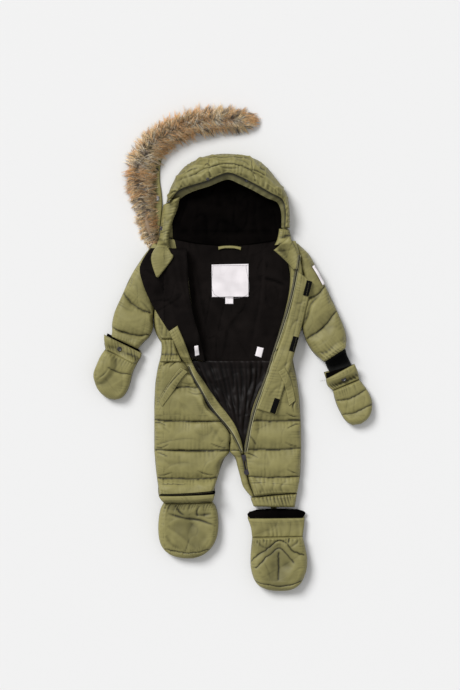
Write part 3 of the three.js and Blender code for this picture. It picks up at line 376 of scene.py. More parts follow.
# The floor's pile of cloth.
class Pile:
    """How high the cloth laid so far reaches, in square cells of the floor."""
    cell = 1.5
    corner = (-420.0, -680.0)

    def __init__(self):
        self.height = np.zeros((920, 560))

    def index(self, x, y):
        return (x - self.corner[0]) / self.cell, (y - self.corner[1]) / self.cell

    def at(self, x, y):
        """The height at points, straight between the cells."""
        return self.sample(self.height, x, y)

    def sample(self, field, x, y):
        px, py = self.index(x, y)
        i, j = np.floor(px - 0.5).astype(int), np.floor(py - 0.5).astype(int)
        fx, fy = px - 0.5 - i, py - 0.5 - j
        return (field[j, i] * (1 - fx) * (1 - fy) + field[j, i + 1] * fx * (1 - fy)
                + field[j + 1, i] * (1 - fx) * fy + field[j + 1, i + 1] * fx * fy)

    def raise_to(self, x, y, z):
        px, py = self.index(x, y)
        np.maximum.at(self.height, (np.floor(py).astype(int), np.floor(px).astype(int)), z)

    def under(self, x, y, reach, bite):
        """A smooth floor under a footprint: the highest cell within a reach, then the mean over the reach.
        A border as wide as the bite is left out, so that neighbours at a seam don't lift the edge."""
        fx, fy = refined(x, 3), refined(y, 3)
        px, py = self.index(fx, fy)
        mask = np.zeros(self.height.shape, bool)
        mask[np.floor(py).astype(int), np.floor(px).astype(int)] = True
        for axis in (0, 1):
            mask = spread(mask, 1, axis, np.logical_or)
        for axis in (0, 1):
            mask = spread(mask, 1 + bite, axis, np.logical_and)
        field = np.where(mask, self.height, -1.0)
        for axis in (0, 1):
            field = spread(field, reach, axis, np.maximum)
        known = field >= 0
        total, weight = np.where(known, field, 0.0), known.astype(float)
        for axis in (0, 1):
            total, weight = spread(total, reach, axis, np.add), spread(weight, reach, axis, np.add)
        smooth = total / np.maximum(weight, 1e-9)
        while not known.all() and not (self.sample((weight > 0).astype(float), x, y) > 0.99).all():
            total = np.where(weight > 0, smooth, 0.0)
            weight = (weight > 0).astype(float)
            for axis in (0, 1):
                total, weight = spread(total, 2, axis, np.add), spread(weight, 2, axis, np.add)
            smooth = np.where(weight > 0, total / np.maximum(weight, 1e-9), 0.0)
        return self.sample(smooth, x, y)


def spread(field, reach, axis, join):
    """Joins each cell with those within a reach along an axis."""
    out = field.copy()
    for k in range(1, reach + 1):
        for step in (k, -k):
            out = join(out, np.roll(field, step, axis))
    return out


def refined(grid, times):
    """A grid with straight steps put in between its points."""
    for axis in (0, 1):
        count = grid.shape[axis]
        place = np.linspace(0, count - 1, (count - 1) * times + 1)
        i = np.minimum(place.astype(int), count - 2)
        share = (place - i).reshape((-1, 1) if axis == 0 else (1, -1))
        grid = np.take(grid, i, axis) * (1 - share) + np.take(grid, i + 1, axis) * share
    return grid


PILE = Pile()


# Meshes from grids.
def place(x, y, z):
    """Plan millimetres to frame metres."""
    return np.stack([(x + PLAN_SHIFT[0]) * MM, (y + PLAN_SHIFT[1]) * MM, z * MM], -1)


def quads(count_j, count_i, start=0, wrap_j=False, wrap_i=False):
    """The faces of a grid of points, by their numbers."""
    j = np.arange(count_j - (0 if wrap_j else 1))[:, None]
    i = np.arange(count_i - (0 if wrap_i else 1))[None, :]
    a, b = j * count_i + i, j * count_i + (i + 1) % count_i
    c, d = (j + 1) % count_j * count_i + (i + 1) % count_i, (j + 1) % count_j * count_i + i
    return np.stack([a, b, c, d], -1).reshape(-1, 4) + start


def mesh_object(name, points, faces, material, smooth=True):
    """A mesh object at the origin from points and same-sized faces, turned so that its faces look outward."""
    points, faces = np.asarray(points, float).reshape(-1, 3), np.asarray(faces, int)
    corner = points[faces]
    around = corner - points.mean(0)
    volume = sum(np.einsum("ij,ij->i", around[:, 0], np.cross(around[:, k], around[:, k + 1])).sum()
                 for k in range(1, faces.shape[1] - 1))
    if volume < 0:
        faces = faces[:, ::-1]
    mesh = bpy.data.meshes.new(name)
    mesh.vertices.add(len(points))
    mesh.vertices.foreach_set("co", points.ravel())
    mesh.loops.add(faces.size)
    mesh.loops.foreach_set("vertex_index", faces.ravel().astype(np.int32))
    mesh.polygons.add(len(faces))
    mesh.polygons.foreach_set("loop_start", np.arange(0, faces.size, faces.shape[1], dtype=np.int32))
    mesh.polygons.foreach_set("use_smooth", np.full(len(faces), smooth))
    mesh.update(calc_edges=True)
    mesh.validate()
    mesh.materials.append(bpy.data.materials[material] if isinstance(material, str) else material)
    made = bpy.data.objects.new(name, mesh)
    bpy.context.scene.collection.objects.link(made)
    shade(made, np.ones(len(mesh.vertices)))
    return made


def shade(made, values):
    """Writes the painted shade of each point of a mesh, which multiplies the cloth's base colour: folds and seams are
    painted darker than puffs.
    """
    layer = made.data.attributes.get("painted_fold_shade") or made.data.attributes.new("painted_fold_shade", "FLOAT", "POINT")
    whole = np.ones(len(made.data.vertices))
    whole[:values.size] = values.ravel()
    layer.data.foreach_set("value", whole)


def hollows(height, cells):
    """How far each point of a grid lies below the mean of those around it."""
    wide = np.pad(height, cells, mode="edge")
    for axis in (0, 1):
        wide = spread(wide, cells, axis, np.add)
    return wide[cells:-cells, cells:-cells] / (2 * cells + 1) ** 2 - height


def dim(line, amount, width):
    """A place that the light hardly reaches: how much darker the cloth is near a line."""
    def darker(x, y):
        out = np.zeros(x.shape)
        near, away, _, _, _ = beside(line, x, y, width * 2.5)
        out[near] = amount * np.exp(-(away / width) ** 2)
        return out
    return darker


def painted_fold_shade(height, spacing):
    """Painted shade and highlight from the form: narrow and broad hollows are painted darker, puffs painted a little
    lighter.
    """
    fine = hollows(height, max(1, int(3.0 / spacing)))
    broad = hollows(height, max(2, int(10.0 / spacing)))
    return np.clip(1.0 - 0.85 * np.clip(fine / 0.8, -0.1, 1) - 0.2 * np.clip(broad / 1.8, -0.5, 1.6), 0.16,
                   1.15)


def shell(name, top, bottom, material):
    """A closed shell from two grids of points with the same plan: both sides and a wall round the rim."""
    count_j, count_i = top.shape[:2]
    points = np.concatenate([top.reshape(-1, 3), bottom.reshape(-1, 3)])
    numbers = np.arange(count_j * count_i).reshape(count_j, count_i)
    rim = np.concatenate([numbers[0, :-1], numbers[:-1, -1], numbers[-1, :0:-1], numbers[:0:-1, 0]])
    after = np.roll(rim, -1)
    under = count_j * count_i
    faces = np.concatenate([
        quads(count_j, count_i), quads(count_j, count_i, under)[:, ::-1],
        np.stack([after, rim, rim + under, after + under], 1),
    ])
    return mesh_object(name, points, faces, material)


def tube(line, radius, sides=8):
    """A round cord along a line of plan points with heights, closed at its ends by shrinking rings."""
    line = np.asarray(line, float)
    ahead = np.gradient(line, axis=0)
    ahead /= np.linalg.norm(ahead, axis=1)[:, None] + 1e-9
    side = np.cross(ahead, (0, 0, 1))
    side /= np.linalg.norm(side, axis=1)[:, None] + 1e-9
    up = np.cross(side, ahead)
    turn = np.linspace(0, 2 * np.pi, sides, endpoint=False)
    ring = np.cos(turn)[None, :, None] * side[:, None] + np.sin(turn)[None, :, None] * up[:, None]
    size = np.full(len(line), radius)
    body = line[:, None] + ring * size[:, None, None]
    caps = [line[:1, None] - ahead[:1, None] * radius * 0.5 + ring[:1] * radius * 0.02,
            line[-1:, None] + ahead[-1:, None] * radius * 0.5 + ring[-1:] * radius * 0.02]
    grid = np.concatenate([caps[0], body, caps[1]])
    points = place(grid[..., 0], grid[..., 1], grid[..., 2])
    count = len(grid)
    return points.reshape(-1, 3), np.concatenate([quads(count, sides, wrap_i=True), caps_of(count, sides)])


def caps_of(rings, sides):
    """Faces that close the first and the last ring of a round body with an even number of sides."""
    i = np.arange(sides // 2 - 1)
    first = np.stack([i, i + 1, sides - 2 - i, sides - 1 - i], 1)
    return np.concatenate([first[:, ::-1], first + (rings - 1) * sides])


def bars(centres, ahead, size):
    """Many small bars: points and faces of a box at each centre, its length along its own direction."""
    ahead = ahead / (np.linalg.norm(ahead, axis=1)[:, None] + 1e-9)
    side = np.cross(ahead, (0, 0, 1))
    side /= np.linalg.norm(side, axis=1)[:, None] + 1e-9
    up = np.cross(side, ahead)
    signs = np.array([(a, b, c) for a in (-1, 1) for b in (-1, 1) for c in (-1, 1)], float) / 2
    corners = (signs[None, :, :1] * size[0] * ahead[:, None] + signs[None, :, 1:2] * size[1] * side[:, None]
               + signs[None, :, 2:] * size[2] * up[:, None])
    points = centres[:, None] + corners
    box = np.array([(0, 1, 3, 2), (4, 6, 7, 5), (0, 4, 5, 1), (2, 3, 7, 6), (0, 2, 6, 4), (1, 5, 7, 3)])
    faces = (np.arange(len(centres))[:, None, None] * 8 + box).reshape(-1, 4)
    return place(points[..., 0], points[..., 1], points[..., 2]).reshape(-1, 3), faces


def joined(name, parts, material, smooth=False):
    """One object from several lots of points and faces."""
    points, faces, start = [], [], 0
    for some, lots in parts:
        some = np.asarray(some).reshape(-1, 3)
        points.append(some)
        faces.append(np.asarray(lots) + start)
        start += len(some)
    return mesh_object(name, np.concatenate(points), np.concatenate(faces), material, smooth)


# Materials.
def node_group(name, outputs):
    group = bpy.data.node_groups.new(name, "ShaderNodeTree")
    group.interface.new_socket("Vector", in_out="INPUT", socket_type="NodeSocketVector")
    group.interface.new_socket("Scale", in_out="INPUT", socket_type="NodeSocketFloat")
    for label, kind in outputs:
        group.interface.new_socket(label, in_out="OUTPUT", socket_type=kind)
    return group, group.nodes.new("NodeGroupInput"), group.nodes.new("NodeGroupOutput")


def crumple_group():
    """Fine creases of thin nylon: a few sizes of noise, folded to ridges."""
    group, given, out = node_group("fine_creases", [("Height", "NodeSocketFloat")])
    links = group.links
    warp = group.nodes.new("ShaderNodeTexNoise")
    warp.inputs["Scale"].default_value = 14.0
    mixed = group.nodes.new("ShaderNodeVectorMath")
    mixed.operation = "MULTIPLY_ADD"
    mixed.inputs[1].default_value = (0.02, 0.02, 0.02)
    links.new(given.outputs["Vector"], warp.inputs["Vector"])
    links.new(warp.outputs["Color"], mixed.inputs[0])
    links.new(given.outputs["Vector"], mixed.inputs[2])
    ridge = group.nodes.new("ShaderNodeTexNoise")
    ridge.noise_type = "RIDGED_MULTIFRACTAL"
    ridge.inputs["Detail"].default_value = 2.0
    links.new(mixed.outputs[0], ridge.inputs["Vector"])
    links.new(given.outputs["Scale"], ridge.inputs["Scale"])
    soft = group.nodes.new("ShaderNodeTexNoise")
    soft.inputs["Scale"].default_value = 22.0
    soft.inputs["Detail"].default_value = 3.0
    links.new(given.outputs["Vector"], soft.inputs["Vector"])
    wide_scale = group.nodes.new("ShaderNodeMath")
    wide_scale.operation = "MULTIPLY"
    wide_scale.inputs[1].default_value = 0.32
    links.new(given.outputs["Scale"], wide_scale.inputs[0])
    wide = group.nodes.new("ShaderNodeTexNoise")
    wide.noise_type = "RIDGED_MULTIFRACTAL"
    wide.inputs["Detail"].default_value = 1.0
    links.new(mixed.outputs[0], wide.inputs["Vector"])
    links.new(wide_scale.outputs[0], wide.inputs["Scale"])
    add = group.nodes.new("ShaderNodeMath")
    add.operation = "MULTIPLY_ADD"
    add.inputs[1].default_value = 0.3
    links.new(ridge.outputs["Fac"], add.inputs[0])
    links.new(soft.outputs["Fac"], add.inputs[2])
    more = group.nodes.new("ShaderNodeMath")
    more.operation = "MULTIPLY_ADD"
    more.inputs[1].default_value = 0.9
    links.new(wide.outputs["Fac"], more.inputs[0])
    links.new(add.outputs[0], more.inputs[2])
    links.new(more.outputs[0], out.inputs["Height"])
    return group


def weave_group():
    """Small threads: two crossed waves multiplied."""
    group, given, out = node_group("thread_weave", [("Height", "NodeSocketFloat")])
    waves = []
    for direction in ("X", "Y"):
        wave = group.nodes.new("ShaderNodeTexWave")
        wave.bands_direction = direction
        group.links.new(given.outputs["Vector"], wave.inputs["Vector"])
        group.links.new(given.outputs["Scale"], wave.inputs["Scale"])
        waves.append(wave)
    times = group.nodes.new("ShaderNodeMath")
    times.operation = "MULTIPLY"
    group.links.new(waves[0].outputs["Fac"], times.inputs[0])
    group.links.new(waves[1].outputs["Fac"], times.inputs[1])
    group.links.new(times.outputs[0], out.inputs["Height"])
    return group


def cloth(name, colour, deep, roughness, relief=("fine_creases", 60.0, 0.5, 1.0), sheen=0.0, specular=0.5):
    """A cloth material: its colour and a deeper share of it mixed by soft noise, times the painted shade and
    highlight of each point, and a bump from a group.
    """
    material = bpy.data.materials.new(name)
    material.use_nodes = True
    tree = material.node_tree
    shader = tree.nodes["Principled BSDF"]
    shader.inputs["Roughness"].default_value = roughness
    shader.inputs["Specular IOR Level"].default_value = specular
    shader.inputs["Sheen Weight"].default_value = sheen
    where = tree.nodes.new("ShaderNodeTexCoord")
    ramp = tree.nodes.new("ShaderNodeMapRange")
    ramp.inputs["From Min"].default_value = 0.3
    ramp.inputs["From Max"].default_value = 0.7
    mix = tree.nodes.new("ShaderNodeMix")
    mix.data_type = "RGBA"
    mix.inputs["A"].default_value = (*(part * deep for part in colour), 1)
    mix.inputs["B"].default_value = (*colour, 1)
    soft = tree.nodes.new("ShaderNodeTexNoise")
    soft.inputs["Scale"].default_value = 18.0
    soft.inputs["Detail"].default_value = 4.0
    tree.links.new(where.outputs["Object"], soft.inputs["Vector"])
    tree.links.new(soft.outputs["Fac"], ramp.inputs["Value"])
    tree.links.new(ramp.outputs["Result"], mix.inputs["Factor"])
    # Painted shade and highlight: the base colour is multiplied by the fold-shade attribute of each point.
    folds = tree.nodes.new("ShaderNodeAttribute")
    folds.attribute_name = "painted_fold_shade"
    darker = tree.nodes.new("ShaderNodeMix")
    darker.data_type = "RGBA"
    darker.blend_type = "MULTIPLY"
    darker.inputs["Factor"].default_value = 1.0
    tree.links.new(mix.outputs["Result"], darker.inputs["A"])
    tree.links.new(folds.outputs["Fac"], darker.inputs["B"])
    tree.links.new(darker.outputs["Result"], shader.inputs["Base Color"])
    group_name, scale, strength, distance = relief
    group = tree.nodes.new("ShaderNodeGroup")
    group.node_tree = bpy.data.node_groups[group_name]
    group.inputs["Scale"].default_value = scale
    tree.links.new(where.outputs["Object"], group.inputs["Vector"])
    bump = tree.nodes.new("ShaderNodeBump")
    bump.inputs["Strength"].default_value = strength
    bump.inputs["Distance"].default_value = distance * MM
    tree.links.new(group.outputs["Height"], bump.inputs["Height"])
    tree.links.new(bump.outputs["Normal"], shader.inputs["Normal"])
    return material


def plain(name, colour, roughness, metallic=0.0):
    material = bpy.data.materials.new(name)
    material.use_nodes = True
    shader = material.node_tree.nodes["Principled BSDF"]
    shader.inputs["Base Color"].default_value = (*colour, 1)
    shader.inputs["Roughness"].default_value = roughness
    shader.inputs["Metallic"].default_value = metallic
    return material


def fur_material():
    """Hair whose colour is painted on each strand."""
    material = bpy.data.materials.new(FUR)
    material.use_nodes = True
    tree = material.node_tree
    shader = tree.nodes["Principled BSDF"]
    shader.inputs["Roughness"].default_value = 0.55
    shader.inputs["Sheen Weight"].default_value = 0.2
    paint = tree.nodes.new("ShaderNodeAttribute")
    paint.attribute_name = "strand_colour"
    tree.links.new(paint.outputs["Color"], shader.inputs["Base Color"])
    return material


SHELL, SHADED_FACING, PALE = "olive_shell", "shaded_facing_cloth", "pale_binding"
FLEECE, SHADED_FLEECE, SATIN = "black_fleece_cloth", "shaded_black_fleece", "brown_satin_cloth"
RIB, TAPE, HOOKS, LABEL = "black_rib_knit", "zip_tape_cloth", "hook_patch_cloth", "white_label_cloth"
THREAD, GREY_THREAD, TEETH, BLACK_TEETH = "olive_thread", "grey_thread", "zip_teeth_olive", "zip_teeth_black"
SILVER, DARK_METAL, DARK_STUD, FUR = "silver_metal", "dark_metal", "dark_stud", "fur_strands"


def make_materials(colours):
    """Every material of the suit, from the colours that are set."""
    crumple_group()
    weave_group()
    fleece = tuple(colours.fleece)
    cloth(SHELL, colours.shell, 0.826, 0.55, ("fine_creases", 60.0, 0.8, 3.0), 0.03, 0.3)
    # Painted shade: the facing and the hood's binding take the shell's olive darkened for the shade under the hood's
    # brim.
    cloth(SHADED_FACING, colours.facing, 0.79, 0.6, ("fine_creases", 80.0, 0.4, 1.0))
    cloth(PALE, (0.38, 0.36, 0.2), 0.87, 0.6, ("thread_weave", 300.0, 0.3, 0.3))
    cloth(FLEECE, fleece, 0.6, 0.95, ("fine_creases", 260.0, 0.7, 1.0), 0.0, 0.05)
    # Painted shade: the body's fleece darkened to about a third, for the hood's hollow and the cuffs' mouths, where
    # shade falls.
    cloth(SHADED_FLEECE, [part * 0.36 for part in fleece], 0.4, 0.95, ("fine_creases", 260.0, 0.7, 1.0), 0.0,
          0.02)
    cloth(SATIN, colours.satin, 0.6, 0.5, ("fine_creases", 30.0, 0.2, 1.5), 0.0, 0.14)
    cloth(RIB, (0.01, 0.01, 0.0095), 0.5, 0.9, ("thread_weave", 350.0, 0.5, 0.5), 0.0, 0.1)
    cloth(TAPE, (0.02, 0.018, 0.014), 0.6, 0.8, ("thread_weave", 400.0, 0.4, 0.3))
    cloth(HOOKS, (0.004, 0.004, 0.004), 0.5, 0.9, ("thread_weave", 500.0, 0.8, 0.8), 0.0, 0.1)
    cloth(LABEL, (0.86, 0.81, 0.83), 0.95, 0.55, ("thread_weave", 500.0, 0.25, 0.2))
    plain(THREAD, (0.12, 0.11, 0.05), 0.6)
    plain(GREY_THREAD, (0.2, 0.19, 0.2), 0.6)
    plain(TEETH, (0.2, 0.185, 0.11), 0.4)
    plain(BLACK_TEETH, (0.02, 0.02, 0.02), 0.4)
    plain(SILVER, (0.55, 0.54, 0.55), 0.25, 1.0)
    plain(DARK_METAL, (0.1, 0.09, 0.105), 0.35, 1.0)
    plain(DARK_STUD, (0.03, 0.028, 0.032), 0.3)
    fur_material()


# Panels.
def eased(count):
    """Places from 0 to 1, closer together towards both ends."""
    even = np.linspace(0, 1, count)
    return 0.55 * even + 0.45 * (1 - np.cos(np.pi * even)) / 2


def plan_grid(rows, spacing, straight=False, bow=(0, 0)):
    """A grid over a panel's plan: x, y, distance from its left, right, top and bottom, and the run down it."""
    last = len(rows) - 1
    t = np.linspace(0, last, 60 * last + 1)

    def at(places):
        if not straight:
            return curve(rows, places)
        whole = np.arange(last + 1)
        return np.stack([np.interp(places, whole, rows[:, k]) for k in range(4)], 1)

    line = at(t)
    middle = (line[:, :2] + line[:, 2:]) / 2
    run = np.concatenate([[0], np.cumsum(np.linalg.norm(np.diff(middle, axis=0), axis=1))])
    width = np.linalg.norm(line[:, 2:] - line[:, :2], axis=1)
    count_v, count_u = max(5, int(run[-1] / spacing) + 1), max(5, int(width.max() / spacing) + 1)
    down = eased(count_v) * run[-1]
    here = at(np.interp(down, run, t))[:, None]
    share = eased(count_u)[None, :]
    x = here[..., 0] * (1 - share) + here[..., 2] * share
    y = here[..., 1] * (1 - share) + here[..., 3] * share
    wide = np.linalg.norm(here[..., 2:] - here[..., :2], axis=-1)
    down = np.broadcast_to(down[:, None], x.shape)
    arch = 4 * share * (1 - share)
    y = y - arch * (bow[1] * smoothstep((down / run[-1] - 0.45) / 0.55) - bow[0]
                    * smoothstep(0.55 - down / run[-1]))
    return x, y, (share * wide, (1 - share) * wide, down, run[-1] - down), (share * wide, down)


def swell(away, radius):
    """The rounded rise of padding from a seam: a quarter circle over the radius."""
    if radius <= 0:
        return np.ones(np.shape(away))
    return np.sqrt(1 - (1 - np.clip(away / radius, 0, 1)) ** 2)


def pull(points, step_j, step_i, rest, stiff):
    """Moves each pair of points a step apart on the grid towards its rest length, in two or three rounds of pairs."""
    j0, j1 = max(0, -step_j), points.shape[0] - max(0, step_j)
    i0, i1 = max(0, -step_i), points.shape[1] - max(0, step_i)
    first = points[j0:j1, i0:i1]
    second = points[j0 + step_j:j1 + step_j, i0 + step_i:i1 + step_i]
    gap = second - first
    length = np.sqrt((gap * gap).sum(-1)) + 1e-9
    move = gap * (0.5 * stiff * (1 - rest / length))[..., None]
    total = np.zeros(points.shape)
    total[j0:j1, i0:i1] += move
    total[j0 + step_j:j1 + step_j, i0 + step_i:i1 + step_i] -= move
    return total


LINKS = ((0, 1, 1.0), (1, 0, 1.0), (1, 1, 0.5), (1, -1, 0.5), (0, 2, 0.4), (2, 0, 0.4), (0, 4, 0.3),
         (4, 0, 0.3),
         (3, 3, 0.15), (3, -3, 0.15))


def rest_lengths(points, slack):
    """How long each link is at rest: its length in the pattern, with the slack of the cloth there."""
    out = []
    for step_j, step_i, _ in LINKS:
        j0, j1 = max(0, -step_j), points.shape[0] - max(0, step_j)
        i0, i1 = max(0, -step_i), points.shape[1] - max(0, step_i)
        gap = points[j0 + step_j:j1 + step_j, i0 + step_i:i1 + step_i] - points[j0:j1, i0:i1]
        more = (slack[j0:j1, i0:i1] + slack[j0 + step_j:j1 + step_j, i0 + step_i:i1 + step_i]) / 2
        out.append(np.linalg.norm(gap, axis=-1) * (1 + more))
    return out


def every(count, stride):
    """Each stride-th number below a count, and the last."""
    return np.unique(np.append(np.arange(0, count, stride), count - 1))


def stretched(grid, known):
    """A grid's rows, known at some places, straight between them at every place."""
    share = np.interp(np.arange(known[-1] + 1), known, np.arange(len(known)))
    first = np.minimum(share.astype(int), len(known) - 2)
    part = (share - first)[:, None, None]
    return grid[first] * (1 - part) + grid[first + 1] * part


def softened(grid):
    """A grid averaged with its neighbours, one, two, one, along both ways."""
    grid = np.pad(grid, ((1, 1), (1, 1), (0, 0)), mode="edge")
    grid = (grid[:-2] + 2 * grid[1:-1] + grid[2:]) / 4
    return (grid[:, :-2] + 2 * grid[:, 1:-1] + grid[:, 2:]) / 4


def settle(fine, floor, slack, hold, stride=2, steps=80, rounds=3, puff=0.02, limit=7.0):
    """Lets the cloth find its own wrinkles, on each stride-th row and column. The links are a little longer than
    the shape they start from, the held points stay, the padding pushes up, and the cloth can't sink below its
    floor or leave its place. How far each point has moved is then smoothed and added to the whole grid."""
    rows, columns = every(fine.shape[0], stride), every(fine.shape[1], stride)
    pick = np.ix_(rows, columns)
    start, floor, free = fine[pick], floor[pick], (1 - hold[pick])[..., None]
    rests = rest_lengths(start, slack[pick])
    points = before = start
    for _ in range(steps):
        drift = (points - before) * 0.9
        before = points
        points = points + drift * free
        points[..., 2] += puff * free[..., 0]
        for _ in range(rounds):
            move = sum(pull(points, step_j, step_i, rest, stiff)
                       for (step_j, step_i, stiff), rest in zip(LINKS, rests))
            points = points + move * 0.3 * free
        points[..., 2] = np.maximum(points[..., 2], floor)
        away = points - start
        reach = np.linalg.norm(away, axis=-1, keepdims=True) + 1e-9
        points = start + away * np.minimum(1, limit / reach)
    moved = stretched(stretched(softened(points - start), rows).swapaxes(0, 1), columns).swapaxes(0, 1)
    return fine + softened(softened(moved)) * (1 - hold)[..., None]


def pucker(away, run, amount, wave, seed):
    """Short uneven waves across a seam, which die out away from it."""
    warp = noise(run, run * 0 + 3.0, wave * 2.3, seed) * wave * 0.8
    strength = 0.6 + 0.5 * noise(run, run * 0 + 77.0, wave * 2.9, seed + 1)
    length = wave * (1.1 + 0.6 * noise(run, run * 0 + 21.0, wave * 1.7, seed + 2))
    return amount * strength * np.sin(2 * np.pi * (run + warp) / wave) * np.exp(-away / length) * (
        1 - np.exp(-away / 1.4))


def cut_of(rows, ease=1.0):
    """The flat size and area of a plan, in metres."""
    x, y, away, _ = plan_grid(rows, 6.0)
    wide = max(0.0101, (away[0] + away[1]).max() * MM * ease)
    long = max(0.0101, away[2].max() * MM * ease)
    dx, dy = np.diff(x, axis=1)[:-1], np.diff(y, axis=1)[:-1]
    ex, ey = np.diff(x, axis=0)[:, :-1], np.diff(y, axis=0)[:, :-1]
    area = np.abs(dx * ey - dy * ex).sum() * MM * MM * ease * ease
    return (wide, long), float(np.clip(area, 0.31 * wide * long, wide * long))


def panel(name, node, rows, material, rim=3.5, loft=15.0, edges=(14, 14, 14, 14), spacing=2.4, reach=4,
          bite=2,
          relief=(), wrinkle=1.0, puckers=(0.8, 0.8, 0.8, 0.8), wave=8.0, turn=0.4, on_floor=False,
          straight=False,
          padded=0.6, hidden=0.0, bow=(0, 0), slack=0.0,
          gather=0.0, dimmer=(), seed=1):
    """Lays one panel on the pile: its underside follows what lies below, its top rises from the seams."""
    x, y, away, (across, down) = plan_grid(rows, spacing, straight, bow)
    low = np.zeros(x.shape) if on_floor else PILE.under(x, y, reach, bite) + SEAM_GAP
    rise, tight = np.ones(x.shape), np.ones(x.shape)
    for distance, radius in zip(away, edges):
        rise = rise * swell(distance, radius)
        tight = tight * swell(distance, min(radius, rim * 0.8))
    sizes = bpy.context.scene.snowsuit_sizes
    height = rim * (0.3 + 0.7 * tight) + (loft - rim) * rise * sizes.padding
    work = np.zeros(x.shape)
    for number, worked in enumerate(relief):
        work = work + worked(x, y, seed * 31 + number)
    if wrinkle:
        work = work + wrinkle * sizes.wrinkles * (
            1.5 * noise(x, y, 34, seed * 7 + 1) + 0.8 * noise(x, y, 17, seed * 7 + 4)
            - 1.2 * (crumple(x, y, 60, turn, 2.4, seed * 7 + 1) ** 2 - 0.2)
            - 0.7 * (crumple(x, y, 30, turn + 1.1, 2.2, seed * 7 + 2) ** 2 - 0.2))
    runs = (down, down, across, across)
    for number, (distance, run, amount, radius) in enumerate(zip(away, runs, puckers, edges)):
        if amount and radius > 0:
            work = work + pucker(distance, run, amount, wave, seed * 13 + number)
    fade = 0.15 + 0.85 * np.minimum(1, tight * rise ** 0.5)
    height = np.maximum(height + work * fade, rim * (0.25 + 0.35 * tight))
    top = low + height
    if slack:
        points = np.dstack([x, y, top])
        ease = slack * (0.75 + 0.5 * noise(x, y, 40, seed * 5 + 3)) + gather * np.exp(-np.min(away,
            axis=0) / 9.0)
        hold = np.zeros(x.shape)
        hold[0], hold[-1], hold[:, 0], hold[:, -1] = 1, 1, 1, 1
        for worked in relief:
            if getattr(worked, "sewn", None):
                hold = np.maximum(hold, worked.sewn(x, y))
        points = settle(points, low + rim * 0.3, ease, hold)
        x, y, top = points[..., 0], points[..., 1], points[..., 2]
    PILE.raise_to(refined(x, 3), refined(y, 3), refined(top, 3))
    if hidden:
        low = low + hidden * rise * (0.4 + crumple(x, y, 30, turn, 1.6, seed * 7 + 9))
    made = shell(name, place(x, y, top), place(x, y, np.minimum(low, top - 0.3)), material)
    # Painted shade: hollows of the top darker, puffs a little lighter, and darker still near each dimmer line where
    # little light reaches.
    bright = painted_fold_shade(top, spacing)
    for darker in dimmer:
        bright = bright * (1 - darker(x, y))
    shade(made, bright)
    finish_piece(made, node)
    if padded is None:
        flat, area = cut_of(rows, 1.02 if down[-1, 0] > 60 else 1.1)
    LAST["under"] = node or LAST["under"]
    return made


LAST = {"under": "back_bodice"}


def finish_piece(made, node=None):
    """Says what a piece moves with and hides the solid that it stands for."""
    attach(made, "garment")
    if node:
        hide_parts(node)


def stitch_bars(line, gap=4.2, size=(2.6, 0.55, 0.5), lift=0.1):
    """Bars for the stitches of a line, on top of the cloth."""
    points = resampled(line, gap)
    if len(points) < 2:
        return None
    z = PILE.at(points[:, 0], points[:, 1]) + lift
    spots = np.column_stack([points, z])
    ahead = np.gradient(spots, axis=0)
    return bars(spots, ahead, size)


def stitching(name, lines, material, gap=4.2, size=(2.6, 0.55, 0.5), lift=0.1):
    """One object with the stitches of several lines."""
    parts = [part for part in (stitch_bars(line, gap, size, lift) for line in lines) if part]
    made = joined(name, parts, material)
    finish_piece(made)
    return made


def cord_on_cloth(name, line, radius, material, lift=0.0, step=3.0):
    """A binding or piping that follows the top of the cloth along a line."""
    points = resampled(line, step)
    z = PILE.at(points[:, 0], points[:, 1])
    z = np.convolve(np.pad(z, 3, mode="edge"), np.ones(7) / 7, "valid") + radius * 0.6 + lift
    made = joined(name, [tube(np.column_stack([points, z]), radius)], material, True)
    finish_piece(made)
    return made


def press_stud(name, x, y, radius, material, lift=0.0, node=None):
    """A round cap with a raised ring and a dished middle, seated on the cloth."""
    profile = np.array([(0.02, 0.0), (radius, 0.0), (radius, 1.2), (radius - 0.8, 2.0), (radius - 1.8, 2.1),
                        (radius - 2.6, 1.3), (radius * 0.3, 1.1), (0.02, 1.3)])
    turn = np.linspace(0, 2 * np.pi, 32, endpoint=False)
    size = np.maximum(profile[:, 0], 0.02)
    base = float(PILE.at(np.array([x]), np.array([y]))[0]) + lift
    ring = place(x + size[:, None] * np.cos(turn), y + size[:, None] * np.sin(turn),
                 base + np.repeat(profile[:, 1:2], len(turn), 1))
    faces = np.concatenate([quads(len(profile), len(turn), wrap_i=True), caps_of(len(profile), len(turn))])
    made = joined(name, [(ring, faces)], material, True)
    finish_piece(made, node)
    return made


